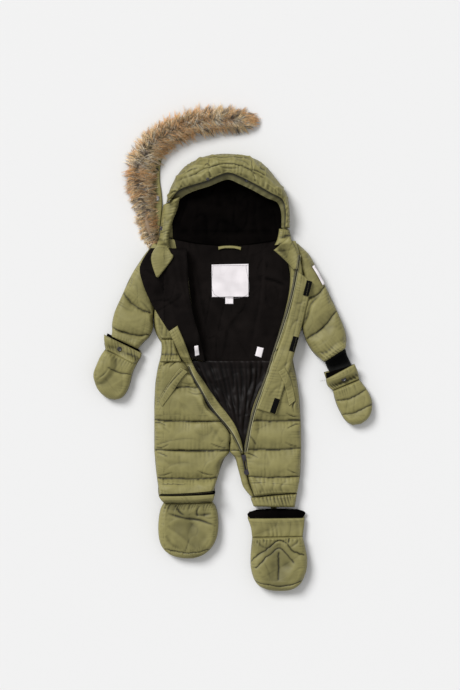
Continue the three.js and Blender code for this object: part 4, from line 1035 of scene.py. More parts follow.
# The layers, from the floor up.
def lay_backs():
    """The panels that lie on the floor."""
    under = dict(rim=4.5, loft=11.0, edges=(12, 12, 12, 12), spacing=4.0, hidden=0.8, wrinkle=0.7)
    panel("sole_left", "bootie_sole_left", BOOT_LEFT, SHELL, **{**under, "loft": 12.0}, seed=2)
    panel("sole_right", "bootie_sole_right", BOOT_RIGHT, SHELL, **{**under, "loft": 12.0}, seed=3)
    panel("palm_left", "mitten_palm_left", MITTEN_LEFT, SHELL, **under, seed=4)
    panel("palm_right", "mitten_palm_right", MITTEN_RIGHT, SHELL, **under, seed=5)
    leg_quilts = [quilt(trace(154, y, 229, y), 4.0) for y in (387, 420, 448, 477)]
    panel("trouser_back_left", "back_trouser_left", BACK_LEG_LEFT, SHELL, **under, relief=leg_quilts, seed=6)
    leg_quilts = [quilt(trace(230, y, 300, y), 4.0) for y in (387, 420, 448, 476)]
    panel("trouser_back_right", "back_trouser_right", BACK_LEG_RIGHT, SHELL, **under, on_floor=True,
          relief=leg_quilts, seed=7)
    body_quilts = [quilt(trace(158, y, 298, y), 4.0) for y in (280, 318)]
    panel("bodice_back", "back_bodice", BACK_BODICE, SHELL, **under, on_floor=True, relief=body_quilts,
          seed=8)
    panel("hood_back_panel", "hood_back", HOOD_BACK, SHELL, **{**under, "loft": 8.0}, on_floor=True, seed=9)
    panel("sleeve_under_left", "sleeve_back_left", SLEEVE_LEFT, SHELL, **under, seed=10)
    panel("sleeve_under_right", "sleeve_back_right", SLEEVE_RIGHT, SHELL, **under, seed=11)


def lay_linings():
    """The fleece and the satin that show in the open front."""
    thin = dict(rim=1.6, loft=3.0, edges=(4, 4, 4, 4), spacing=2.4, puckers=(0, 0, 0, 0), padded=None)
    folds = [
        fold(trace(190, 250, 196, 280, 202, 312, 210, 344), 4.0),
        fold(trace(252, 345, 257, 320, 262, 290, 263, 250), 4.5),
        fold(trace(250, 298, 236, 315, 226, 330, 221, 360), 3.5, 22.0),
        crease(trace(264, 278, 275, 281, 286, 286), 2.0, 5.0),
        crease(trace(205, 300, 222, 318, 236, 345), -2.2, 12.0),
    ]
    fleece = {**thin, "spacing": 3.4}
    panel("fleece_lining", "lining_fleece", FLEECE_BACK, FLEECE, **fleece, relief=folds, wrinkle=1.0, seed=12)
    gathers = []
    for left, reach, depth, width in ((194, 30, 2.6, 4.0), (201, 52, 2.0, 3.0), (208, 24, 2.8, 4.5),
                                      (213, 60, 1.8, 3.0),
                                      (219, 36, 3.0, 4.0), (224, 70, 2.2, 3.5), (230, 26, 2.8, 4.0),
                                      (234, 58, 2.4, 3.0),
                                      (240, 40, 2.6, 4.5), (246, 66, 2.0, 3.0), (251, 28, 2.8, 4.0),
                                      (257, 44, 2.2, 3.0),
                                      (262, 22, 2.4, 3.5)):
        lean = (243 - left) * 0.012
        gathers.append(crease(trace(left, 359, left + lean * reach * 0.4 + 2, 364 + reach * 0.5,
                                    left + lean * reach - 1, 366 + reach), depth * 1.5, width))
    gathers += [fold(trace(204, 371, 216, 380, 229, 376, 238, 385), 3.0, 9.0),
                fold(trace(216, 392, 226, 398, 233, 409, 239, 424), 3.2, 9.0),
                fold(trace(259, 374, 250, 383, 247, 396, 249, 408), 3.0, 8.0),
                fold(trace(244, 388, 238, 398, 241, 412, 243, 432), 2.6, 7.0)]
    satin = {**thin, "loft": 6.5, "edges": (6, 6, 6, 6)}
    panel("satin_lining", "lining_satin", SATIN_LOWER, SATIN, **satin, relief=gathers, wrinkle=1.7,
          turn=1.9, seed=13)


def lay_hood_lining():
    """The black fleece of the hood's hollow, painted darker than the body's fleece as the shade in the hollow."""
    folds = [fold(trace(190, 190, 196, 215, 190, 245), 3.0), fold(trace(262, 245, 256, 215, 262, 190), 3.0)]
    panel("hood_fleece", "hood_lining", HOOD_LINING, SHADED_FLEECE, rim=1.6, loft=3.0, edges=(4, 4, 4, 4),
          spacing=3.8,
          puckers=(0, 0, 0, 0), padded=None, relief=folds, wrinkle=1.5, bow=(0, 17), seed=14)


ROLL_WALL = 7.0
ROLL_TURN = math.radians(115)


def roll_base(t):
    """How high the hood's roll stands at each station: clear of the cloth under its foot."""
    line = curve(HOOD_ROLL, t)
    foot = line[:, :2]
    inward = line[:, 2:4] - foot
    inward /= np.linalg.norm(inward, axis=1)[:, None]
    around = [PILE.at(foot[:, 0] + inward[:, 0] * k, foot[:, 1] + inward[:, 1] * k) for k in (0, 2, 4, 6, 8)]
    base = np.max(around, axis=0)
    base = np.max([np.roll(base, k) for k in (-2, -1, 0, 1, 2)], axis=0)
    return base + SEAM_GAP


def lay_hood():
    """The hood's padded crown, a sheet that stands on the back's edge, bulges up and turns over to its brim."""
    stations, steps = 320, 44
    t = np.linspace(0, len(HOOD_ROLL) - 1, stations)
    base = roll_base(t)
    line = curve(HOOD_ROLL, t)
    foot, edge, rise = line[:, None, :2], line[:, None, 2:4], line[:, 6][:, None]
    a = np.linspace(0, ROLL_TURN, steps)[None, :]
    span = np.linalg.norm(edge - foot, axis=-1)

    def skin(wall):
        share = wall / span + (1 - wall / span) * (1 - np.cos(a)) / (1 - np.cos(ROLL_TURN))
        flat = foot * (1 - share[..., None]) + edge * share[..., None]
        return np.dstack([flat, base[:, None] + (rise - wall) * np.sin(a)])

    outer, inner = skin(0.0), skin(ROLL_WALL)
    x, y = outer[..., 0], outer[..., 1]
    run = np.concatenate([[0], np.cumsum(np.linalg.norm(np.diff(foot[:, 0], axis=0), axis=1))])[:, None]
    over = a * rise + 0 * run
    run = run + 0 * over
    arcs = [
        quilt(trace(181, 168, 190, 163, 200, 160, 213, 158, 226, 157, 240, 157.5, 252, 159, 262, 164, 272,
                    171), 9.5, 8.0,
              2.0, 10.0),
        quilt(trace(192, 178, 205, 171, 216, 167, 228, 165, 240, 167, 250, 172, 262, 179), 9.0, 8.0, 2.2,
              10.0),
        quilt(trace(210, 157, 208, 168, 211, 180), 3.5, 6.0, 0.9, 7.0),
        quilt(trace(252, 158, 252, 168, 255, 183), 3.5, 6.0, 0.9, 7.0),
        crease(trace(176, 176, 181, 174, 187, 173), 3.0, 4.0),
        crease(trace(174, 183, 181, 180, 188, 179), 3.0, 4.0),
        crease(trace(260, 169, 267, 172, 273, 178), 3.0, 4.0),
        crease(trace(262, 175, 270, 178, 276, 185), 2.6, 4.0),
        crease(trace(270, 203, 278, 208, 285, 205), 4.5, 2.6),
        crease(trace(272, 213, 279, 215, 286, 211), 4.0, 2.6),
        crease(trace(273, 221, 281, 225, 288, 222), 4.5, 2.6),
        crease(trace(272, 231, 280, 232, 288, 228), 4.0, 2.6),
        crease(trace(164, 203, 172, 200, 180, 203), 3.5, 2.6),
        crease(trace(168, 195, 175, 193, 183, 195), 3.0, 2.6),
        crease(trace(203, 171, 207, 164, 211, 171), 3.0, 2.2),
        crease(trace(179, 171, 185, 168, 188, 163), 3.5, 2.4),
        crease(trace(184, 177, 190, 172, 198, 170), 3.0, 2.4),
        crease(trace(257, 163, 262, 169, 270, 171), 3.5, 2.4),
        crease(trace(247, 173, 256, 172, 266, 177), 3.0, 2.4),
        crease(trace(236, 160, 246, 163, 250, 170), 2.0, 3.0),
        crease(trace(213, 160, 222, 162, 230, 161), 1.8, 3.0),
        crease(trace(218, 168, 228, 171, 240, 170), 2.2, 3.0),
    ]
    work = sum(arc(x, y, 200 + number) for number, arc in enumerate(arcs)) * np.clip(np.sin(a) * 1.6 - 0.5,
        0, 1)
    work = work + 3.2 * (crumple(run, over, 40, 1.2, 1.5, 61) - 0.45) + 2.4 * (crumple(run, over, 20, 1.5,
        1.6, 62) - 0.45)
    hem = (ROLL_TURN - a) * rise * 0.7 + 0 * run
    work = work + pucker(hem, run, 1.7, 17.0, 63) + pucker(over, run, 1.8, 14.0, 64)
    work = work * np.minimum(1, np.minimum(over / 6, hem / 5 + 0.1))
    ends = np.minimum(1, np.minimum(t, len(HOOD_ROLL) - 1 - t) * 4 + 0.2)[:, None]
    normal = np.cross(np.gradient(outer, axis=0), np.gradient(outer, axis=1))
    normal /= np.linalg.norm(normal, axis=-1)[..., None] + 1e-9
    middle = stations // 2
    if normal[middle, steps // 2, 2] < 0:
        normal = -normal
    outer = outer + normal * (work * ends)[..., None]
    outer[..., 2] = np.maximum(outer[..., 2], base[:, None])
    PILE.raise_to(refined(outer[..., 0], 3), refined(outer[..., 1], 3), refined(outer[..., 2], 3))
    made = shell("hood_roll", place(*np.moveaxis(outer, -1, 0)), place(*np.moveaxis(inner, -1, 0)), SHELL)
    # Painted shade in the roll's creases and seams.
    shade(made, painted_fold_shade(work * ends, 2.0))
    finish_piece(made, "hood_crown")
    lay_facing(t, base)


def lay_facing(t, base):
    """The facing turned in under the brim, its olive painted darker as shade, with a pale binding along its free
    edge.
    """
    line = curve(HOOD_ROLL, t)
    foot, edge, hem, rise = line[:, :2], line[:, 2:4], line[:, 4:6], line[:, 6]
    top = base + (rise - ROLL_WALL) * math.sin(ROLL_TURN) - SEAM_GAP
    start = foot * 0.14 + edge * 0.86
    share = np.linspace(0, 1, 16)[None, :, None]
    flat = np.where(share < 0.35, start[:, None] + (edge - start)[:, None] * share / 0.35,
                    edge[:, None] + (hem - edge)[:, None] * (share - 0.35) / 0.65)
    run = np.concatenate([[0], np.cumsum(np.linalg.norm(np.diff(edge, axis=0), axis=1))])[:, None]
    ripple = 1.0 * np.sin(2 * np.pi * (run + 14 * noise(run, run * 0, 30,
                                                        71)) / 21.0) * (0.4 + 0.6 * share[..., 0])
    drop = 9.0 * np.clip((share[..., 0] - 0.35) / 0.65, 0, 1) ** 1.2
    z = top[:, None] - drop + ripple - 1.3
    made = shell("hood_facing_cloth", place(flat[..., 0], flat[..., 1], z),
                 place(flat[..., 0], flat[..., 1], z - 2.2),
                 SHADED_FACING)
    # Painted shadow under the brim: the facing is darkest where it turns in under the roll and reaches full
    # brightness towards its hem.
    shade(made, 0.18 + 0.82 * smoothstep((share[..., 0] - 0.4) / 0.35) + 0 * z)
    finish_piece(made, "hood_facing")
    binding = np.column_stack([hem, z[:, -1] - 0.6])
    made = joined("hood_binding", [tube(binding, 1.2)], SHADED_FACING, True)
    finish_piece(made)
    PILE.raise_to(refined(flat[..., 0], 3), refined(flat[..., 1], 3), refined(z, 3))


def lay_hood_sides():
    """The olive strips beside the hood's hollow, gathered along their inner edges."""
    side = dict(rim=5.0, loft=19.0, edges=(9, 9, 8, 0), spacing=2.0, wrinkle=1.2,
                puckers=(1.4, 2.4, 1.0, 0), wave=8.0)
    panel("hood_strip_left", "hood_side_left", HOOD_SIDE_LEFT, SHELL, **side, seed=20,
          relief=[crease(trace(168, 236, 172, 232, 177, 231), 3.0, 3.5),
                  crease(trace(164, 222, 170, 221, 175, 217), 3.0, 4.0),
                  crease(trace(165, 246, 169, 246, 172, 249), 2.5, 3.0)])
    panel("hood_strip_right", "hood_side_right", HOOD_SIDE_RIGHT, SHELL, **{**side, "loft": 15.0}, seed=21,
          relief=[crease(trace(276, 226, 282, 228, 287, 226), 3.0, 3.5),
                  crease(trace(275, 236, 281, 238, 288, 237), 3.0, 3.5)])


def strand_colours(core, inner, random, seed_row):
    """A colour for each strand: dark near the core line, ginger along the inner edge, tan and browns elsewhere."""
    tan, brown = np.array((0.68, 0.5, 0.26)), np.array((0.4, 0.3, 0.2))
    dark, ginger = np.array((0.08, 0.06, 0.045)), np.array((0.66, 0.38, 0.15))
    pale = np.array((0.85, 0.74, 0.56))
    pick = seed_row[:, None]
    colour = np.where(pick < 0.5, tan, np.where(pick < 0.72, brown, np.where(pick < 0.9, pale, dark)))
    colour = np.where((inner[:, None] > random[:, :1]), ginger, colour)
    colour = np.where((core[:, None] > random[:, 1:2]), dark, colour)
    return colour * (0.8 + 0.4 * random[:, 2:3])


def lay_fur():
    """The fur on its tape: a soft rope under thousands of tapered strands in tufts."""
    panel("fur_tape_cloth", "fur_tape", FUR_TAPE, SHELL, rim=2.0, loft=5.0, edges=(5, 5, 5, 5), spacing=2.6,
          padded=0.3,
          wrinkle=0.6, puckers=(0.8, 0.8, 0, 0), seed=22)
    stations, half = 200, 24
    t = np.linspace(0, len(FUR_LINE) - 1, stations)
    line = curve(FUR_LINE, t)
    ahead = np.gradient(line[:, :2], axis=0)
    ahead /= np.linalg.norm(ahead, axis=1)[:, None]
    side = np.column_stack([ahead[:, 1], -ahead[:, 0]])
    near = [PILE.at(line[:, 0] + side[:, 0] * k * line[:, 2], line[:, 1] + side[:, 1] * k * line[:, 2])
            for k in (-0.9, -0.6, -0.3, 0, 0.3, 0.6, 0.9)]
    base = np.max(near, axis=0)
    base = np.convolve(np.pad(base, 6, mode="edge"), np.ones(13) / 13, "valid")
    base = np.where(base > 1, base + 0.5, 0.3)
    turn = np.linspace(0, np.pi, half)
    end = np.minimum(1, np.minimum(t * 1.2 + 0.35, (len(FUR_LINE) - 1 - t) * 1.2 + 0.35))[:, None]
    lump = 0.66 + 0.1 * noise(t[:, None] * 60, turn[None] * 40, 30, 5)
    x = line[:, :1] + side[:, :1] * line[:, 2:3] * np.cos(turn) * lump * end
    y = line[:, 1:2] + side[:, 1:] * line[:, 2:3] * np.cos(turn) * lump * end
    z = base[:, None] + 1 + line[:, 3:4] * 0.78 * np.sin(turn) * (0.9 + 0.2 * lump) * end
    flat = place(x, y, base[:, None] + 0 * x)
    rope = shell("fur_rope", place(x, y, z), flat, FUR)
    paint(rope, np.tile((0.3, 0.21, 0.13), (len(rope.data.vertices), 1)))
    finish_piece(rope, "fur_trim")
    random = np.random.default_rng(17)
    for number, (first, last) in enumerate(((0.0, 8.2), (7.8, 16.0))):
        strands(f"fur_strands_{number + 1}", random, first, last, 640, 8)


def fur_frame(t):
    """Where the fur's core line is, with its direction, side, reach and rise."""
    line = curve(FUR_LINE, t)
    ahead = curve(FUR_LINE, np.minimum(t + 0.1, 16)) - curve(FUR_LINE, np.maximum(t - 0.1, 0))
    ahead = ahead[:, :2] / np.linalg.norm(ahead[:, :2], axis=1)[:, None]
    return line, ahead, np.column_stack([ahead[:, 1], -ahead[:, 0]])


def strands(name, random, first, last, tufts, per_tuft):
    """Tufts of three-sided tapering strands that start on the rope, sweep outward and droop to the cloth."""
    count = tufts * per_tuft

    def each(values):
        return np.repeat(values, per_tuft)

    t = random.uniform(first, last, tufts)
    across = random.uniform(-1, 1, tufts)
    lean = random.normal(0.4, 0.3, tufts) + np.clip((t - 7) * 0.2, -0.5, 0.35) + np.clip((t - 14.3) * 0.7,
        0, 1.1)
    way = np.where(random.uniform(-1, 1, tufts) * 0.5 < across, 1.0, -1.0)
    start = np.clip(across * 0.62, -0.64, 0.64)
    line, ahead, side = fur_frame(t)
    reach = line[:, 2]
    goes = (way[:, None] * side) * np.cos(lean)[:, None] + ahead * np.sin(lean)[:, None]
    length = bpy.context.scene.snowsuit_sizes.fur_length * random.uniform(0.6, 1.4,
        tufts) * np.minimum(reach * 1.15, 9 + reach * (1.0 - start * way))
    root = line[:, :2] + side * (start * reach)[:, None]
    curl = random.normal(2.0, 5.0, tufts)
    t, across, start, line, ahead, side, reach, goes, length, root, curl = (
        each(value) if value.ndim == 1 else np.repeat(value, per_tuft, axis=0)
        for value in (t, across, start, line, ahead, side, reach, goes, length, root, curl))
    steps = 4
    s = np.linspace(0, 1, steps)[None, :]
    length = length * random.uniform(0.6, 1.05, count)
    spread_out = random.normal(0, 3.0, (count, 2))
    path = root[:, None] + goes[:, None] * (length[:, None] * s)[..., None]
    path = path + spread_out[:, None] * (1 - 0.85 * s)[..., None]
    bend = curl[:, None] * s ** 2 + random.normal(0, 0.7, count)[:, None] * s
    path = path + np.stack([-goes[:, 1:] * bend, goes[:, :1] * bend], -1)
    ground = PILE.at(path[..., 0], path[..., 1])
    from_core = np.hypot(path[..., 0] - line[:, :1], path[..., 1] - line[:, 1:2]) / (reach[:, None] * 1.25)
    over = np.where(ground > 1, ground, 0.4)
    dome = line[:, 3:4] * np.sqrt(np.clip(1 - from_core ** 2, 0.01, 1))
    lift = random.uniform(0.75, 1.08, count)[:, None]
    z = np.maximum(over + 0.8, PILE_BASE(line) + dome * lift)
    thick = (0.85 * (1 - s) ** 0.7 + 0.08) * random.uniform(0.7, 1.25, count)[:, None]
    spine = np.dstack([path, z])
    tangent = np.gradient(spine, axis=1)
    tangent /= np.linalg.norm(tangent, axis=-1)[..., None] + 1e-9
    flat = np.cross(tangent, (0, 0, 1))
    flat /= np.linalg.norm(flat, axis=-1)[..., None] + 1e-9
    up = np.cross(flat, tangent)
    corner = np.array((0, 2 * np.pi / 3, 4 * np.pi / 3)) + np.pi / 2
    ring = (flat[..., None, :] * np.cos(corner)[:, None] + up[..., None, :] * np.sin(corner)[:,
        None]) * thick[..., None, None]
    points = spine[..., None, :] + ring
    one = quads(steps, 3, wrap_i=True)
    ends = np.array([(2, 1, 0), (steps * 3 - 3, steps * 3 - 2, steps * 3 - 1)])
    one = np.concatenate([one[:, [0, 1, 2]], one[:, [0, 2, 3]], ends])
    faces = (np.arange(count)[:, None, None] * steps * 3 + one).reshape(-1, 3)
    made = mesh_object(name, place(points[..., 0], points[..., 1], points[..., 2]), faces, FUR)
    core = np.clip(np.abs(start) * 1.6 - 0.95, 0, 0.3)
    inner = np.clip(0.35 + 0.9 * noise(t * 9, start * 9, 7.0, 44), 0, 0.8)
    colour = strand_colours(core, inner, random.uniform(0, 1, (count, 3)),
                            np.repeat(random.uniform(0, 1, tufts), per_tuft))
    # Darker at the root, lighter at the tip: partly the fur's own tipped colour, partly painted shade deep in the
    # pile.
    bright = (0.42 + 1.2 * s)[..., None]
    colour = colour[:, None] * bright
    paint(made, np.repeat(colour[:, :, None], 3, 2).reshape(-1, 3))
    finish_piece(made, "fur_trim")


def PILE_BASE(line):
    """How high the cloth lies under the fur's core."""
    ground = PILE.at(line[:, 0], line[:, 1])
    return np.where(ground > 1, ground + 0.5, 0.4)[:, None]


def paint(made, colours):
    """Writes a colour for each point of a mesh."""
    layer = made.data.color_attributes.new("strand_colour", "FLOAT_COLOR", "POINT")
    values = np.ones((len(made.data.vertices), 4))
    values[:, :3] = colours[:len(values)]
    layer.data.foreach_set("color", values.ravel())


def lay_trousers():
    """The trousers' front panels, their seams and quilting, and the right leg's elastic."""
    common = dict(rim=4.0, loft=19.0, spacing=2.2, wrinkle=0.8, slack=0.03, gather=0.03)
    left = [
        quilt(trace(152, 419.5, 190, 421, 224, 420.5), 7.0),
        quilt(trace(154, 449, 190, 450, 229, 449.5), 7.0),
        quilt(trace(156, 477, 190, 478, 218, 477), 6.5),
        quilt(trace(174, 387.5, 188, 387, 201, 387), 4.5, 9.0),
        fold(trace(208, 489, 198, 482, 190, 474), 3.0, 9.0),
        fold(trace(181, 479, 175, 485, 166, 489), 2.0, 8.0),
        fold(trace(226, 452, 214, 458, 203, 469), 1.8, 16.0),
        crease(trace(155, 455, 170, 461, 190, 462), 1.1, 7.0),
        fold(trace(157, 447, 170, 441, 186, 428), 1.5, 18.0),
        crease(trace(222, 424, 214, 434, 212, 447), 1.2, 6.0),
        crease(trace(192, 422, 200, 432, 203, 445), 0.9, 8.0),
        fold(trace(198, 417, 186, 404, 172, 398), 1.6, 18.0),
        fold(trace(166, 418, 176, 408, 180, 396), 1.3, 12.0),
        crease(trace(162, 421, 165, 427, 171, 432), 1.2, 4.0),
        crease(trace(184, 451, 180, 458, 182, 466), 0.8, 6.0),
        crease(trace(157, 365, 161, 361, 166, 359), 3.0, 2.4),
        crease(trace(163, 367, 168, 362, 172, 359), 3.0, 2.2),
        crease(trace(170, 368, 174, 363, 178, 360), 2.4, 2.2),
        crease(trace(155, 371, 158, 369, 163, 364), 2.0, 2.4),
        crease(trace(154, 423, 160, 422, 167, 425), 2.0, 2.2),
        crease(trace(155, 446, 162, 447, 170, 443), 1.8, 2.2),
        crease(trace(156, 452, 163, 453, 169, 456), 2.0, 2.2),
        crease(trace(227, 447, 219, 446, 210, 442), 1.8, 2.2),
        crease(trace(158, 474, 165, 474, 173, 471), 1.6, 2.2),
        crease(trace(214, 474, 206, 473, 197, 469), 1.8, 2.2),
        crease(trace(181, 382, 190, 384, 199, 381), 1.4, 2.4),
        crease(trace(188, 391, 195, 394, 204, 393), 1.5, 2.4),
    ]
    panel("trouser_front_left", "front_trouser_left", FRONT_LEG_LEFT, SHELL, **common, edges=(15, 11, 9, 8),
          puckers=(1.3, 0.9, 0.9, 2.2), relief=left, bow=(0, 11), seed=30)
    gusset = [quilt(trace(229, 449.5, 244, 449.5), 5.0, 8.0),
              crease(trace(233, 438, 238, 446, 243, 452), 1.5, 4.0)]
    panel("gusset", "front_gusset", FRONT_GUSSET, SHELL, **{**common, "loft": 12.0}, edges=(7, 7, 4, 6),
          relief=gusset,
          puckers=(0.9, 0.9, 0, 0.9), seed=31)
    right = [
        quilt(trace(249, 420, 275, 420.5, 302, 419.5), 7.0),
        quilt(trace(242, 448, 270, 449, 302, 447.5), 7.0),
        quilt(trace(237, 476, 268, 476.5, 301, 475.5), 6.5),
        fold(trace(248, 425, 258, 433, 264, 445), 1.6, 14.0),
        fold(trace(299, 424, 288, 433, 281, 445), 1.4, 16.0),
        crease(trace(245, 455, 256, 462, 270, 463), 1.3, 7.0),
        fold(trace(300, 452, 290, 462, 276, 472), 1.5, 16.0),
        crease(trace(264, 452, 268, 460, 266, 470), 0.9, 6.0),
        fold(trace(262, 384, 270, 398, 270, 414), 1.8, 12.0),
        fold(trace(291, 382, 284, 396, 286, 412), 1.4, 10.0),
        crease(trace(286, 479, 280, 486, 283, 494), 2.0, 4.0),
        crease(trace(256, 479, 262, 486, 260, 494), 2.0, 4.0),
        fold(trace(240, 480, 248, 488, 252, 495), 1.6, 9.0),
        crease(trace(270, 478, 273, 484, 270, 492), 1.4, 4.0),
        crease(trace(301, 417, 293, 416, 285, 412), 1.8, 2.2),
        crease(trace(301, 423, 294, 424, 286, 428), 2.0, 2.2),
        crease(trace(301, 445, 292, 445, 284, 441), 1.6, 2.2),
        crease(trace(243, 452, 250, 453, 258, 457), 1.8, 2.2),
        crease(trace(301, 473, 294, 472, 286, 468), 1.8, 2.2),
        crease(trace(246, 431, 252, 437, 257, 446), 1.8, 2.4),
        crease(trace(289, 390, 293, 398, 291, 408), 2.4, 2.6),
        crease(trace(296, 398, 292, 404, 293, 412), 2.0, 2.4),
    ]
    panel("trouser_front_right", "front_trouser_right", FRONT_LEG_RIGHT - np.array((3.0, 0, 0, 0)), SHELL,
          **common, edges=(10, 15, 6, 7),
          puckers=(0.9, 1.3, 0, 2.2), relief=right, seed=32)
    panel("strap", "bootie_strap", BOOT_STRAP, SHELL, rim=1.6, loft=2.4, edges=(3, 3, 3, 3), spacing=1.6,
          reach=2,
          wrinkle=0.3, puckers=(0, 0, 0, 0), padded=0.3, seed=33)
    elastic = dict(rim=4.0, loft=14.0, spacing=1.8, wrinkle=0.6, wave=9.0, edges=(7, 7, 7, 6),
                   puckers=(0.8, 0.8, 3.2, 2.6))
    panel("leg_elastic_right", "leg_cuff_right", LEG_CUFF_RIGHT, SHELL, **elastic, seed=34,
          relief=[crease(trace(252, 486, 253, 492, 254, 497), 3.0, 2.5),
                  crease(trace(274, 492, 274.5, 497, 275, 503), 2.5, 2.0)])


def lay_bodice():
    """What shows of the bodice beside the opening."""
    shell_cloth = dict(rim=4.0, loft=16.0, spacing=2.2, slack=0.03, gather=0.03)
    waist = [crease(trace(162, 341, 163, 350, 161, 358), 1.8, 3.5),
             crease(trace(167, 340, 168, 349, 166, 357), 1.8, 3.5),
             crease(trace(171.5, 341, 172, 350, 172, 358), 1.6, 3.0),
             crease(trace(177, 345, 177, 352, 178, 358), 1.5, 3.0)]
    panel("waist_casing", "front_waist_left", FRONT_WAIST_LEFT, SHELL, **{**shell_cloth, "loft": 12.0},
          edges=(9, 6, 6, 6), puckers=(0.8, 0.6, 2.2, 2.4), wave=7.0, relief=waist, seed=40)
    moved = FRONT_BODICE_LEFT + np.array((4.0, 0, 0, 0))
    moved[0, 1::2] -= 18.0
    panel("bodice_front_left", "front_bodice_left", moved, SHELL, **shell_cloth, edges=(10, 10, 6, 9),
          relief=[crease(trace(158, 318, 163, 326, 162, 336), 2.4, 5.0),
                  crease(trace(166, 318, 168, 328, 166, 338), 2.0, 4.0)],
          seed=41)
    moved = FRONT_BODICE_RIGHT + np.array((-5.0, 0, -5.0, 0))
    panel("bodice_front_right", "front_bodice_right", moved, SHELL, **shell_cloth, edges=(8, 10, 5, 8),
          seed=42)


def lay_sleeves():
    """The sleeves' fronts with their quilting and armpit creases, and the knit cuff in the right one."""
    columns = dict(rim=4.5, loft=12.0, edges=(6, 6, 4, 5), spacing=1.1, reach=3, wrinkle=0.3,
                   puckers=(0, 0, 0, 0))
    panel("knit_cuff", "rib_cuff_right", RIB_CUFF, RIB, **columns, relief=[knit_ribs(RIB_CUFF)], padded=0.4,
          seed=50)
    sleeve = dict(rim=4.5, loft=20.0, spacing=2.0, wrinkle=0.8, slack=0.03, gather=0.03)
    left = [
        quilt(trace(119, 288, 123, 293, 132, 303, 141, 309, 150, 313), 7.0, 11.0, 1.2),
        quilt(trace(109, 323, 118, 330, 135, 335, 152, 335), 7.0, 11.0, 1.2),
        fold(trace(138, 297, 147, 305, 153, 320), 4.0, 11.0),
        crease(trace(141, 300, 150, 311, 155, 325), 3.4, 4.0),
        crease(trace(156, 311, 153, 318, 154, 327), 3.4, 3.5),
        fold(trace(151, 255, 158, 268, 158, 283), 3.0, 16.0),
        fold(trace(132, 274, 142, 283, 147, 297), 2.4, 14.0),
        fold(trace(146, 314, 137, 320, 124, 321), 1.8, 10.0),
        crease(trace(118, 300, 127, 309, 137, 312), 1.3, 6.0),
        fold(trace(149, 331, 138, 329, 128, 322), 1.8, 9.0),
        crease(trace(147, 262, 150, 276, 146, 292), 2.2, 12.0),
    ]
    panel("sleeve_front_left_panel", "sleeve_front_left", SLEEVE_LEFT, SHELL, **sleeve, edges=(16, 13, 6, 7),
          puckers=(1.2, 1.2, 0, 2.4), relief=left, seed=51,
          dimmer=(dim(trace(158, 262, 154, 280, 150, 300), 0.25, 22.0),
                  dim(trace(126, 334, 138, 340, 148, 338), 0.15, 14.0)))
    right = [
        quilt(trace(330, 283, 325, 286, 318, 294, 309, 298), 7.0, 10.0, 1.2),
        quilt(trace(341, 307, 336, 311, 325, 325, 316, 333, 303, 340), 7.0, 11.0, 1.2),
        crease(trace(319, 295, 311, 304, 307, 315, 302, 328), 5.0, 4.0),
        fold(trace(303, 325, 309, 315, 315, 304), 2.6, 12.0),
        fold(trace(297, 258, 304, 270, 305, 284), 2.4, 12.0),
        fold(trace(312, 266, 314, 277, 309, 288), 1.6, 12.0),
        fold(trace(335, 313, 325, 311, 313, 322), 1.7, 14.0),
        crease(trace(322, 330, 332, 327, 341, 329), 1.3, 7.0),
        fold(trace(311, 346, 321, 345, 330, 338), 2.2, 9.0),
        crease(trace(316, 352, 325, 352, 333, 346), 2.2, 3.5),
        fold(trace(327, 288, 320, 297, 316, 308), 1.6, 12.0),
    ]
    panel("sleeve_front_right_panel", "sleeve_front_right", SLEEVE_RIGHT, SHELL, **sleeve,
          edges=(12, 16, 6, 7),
          puckers=(1.2, 1.2, 0, 2.8), relief=right, seed=52,
          dimmer=(dim(trace(300, 300, 304, 318, 308, 338), 0.22, 14.0),
                  dim(trace(291, 252, 296, 262, 299, 276), 0.15, 14.0)))


def knit_ribs(rows):
    """Knit ribs down a cuff: rounded ridges across its width."""
    first = rows[0]

    def height(x, y, seed):
        share = eased(x.shape[1])[None, :] + 0 * x
        wide = np.hypot(first[2] - first[0], first[3] - first[1])
        return 1.5 * np.abs(np.sin(np.pi * share * wide / 4.2)) - 0.7
    return height


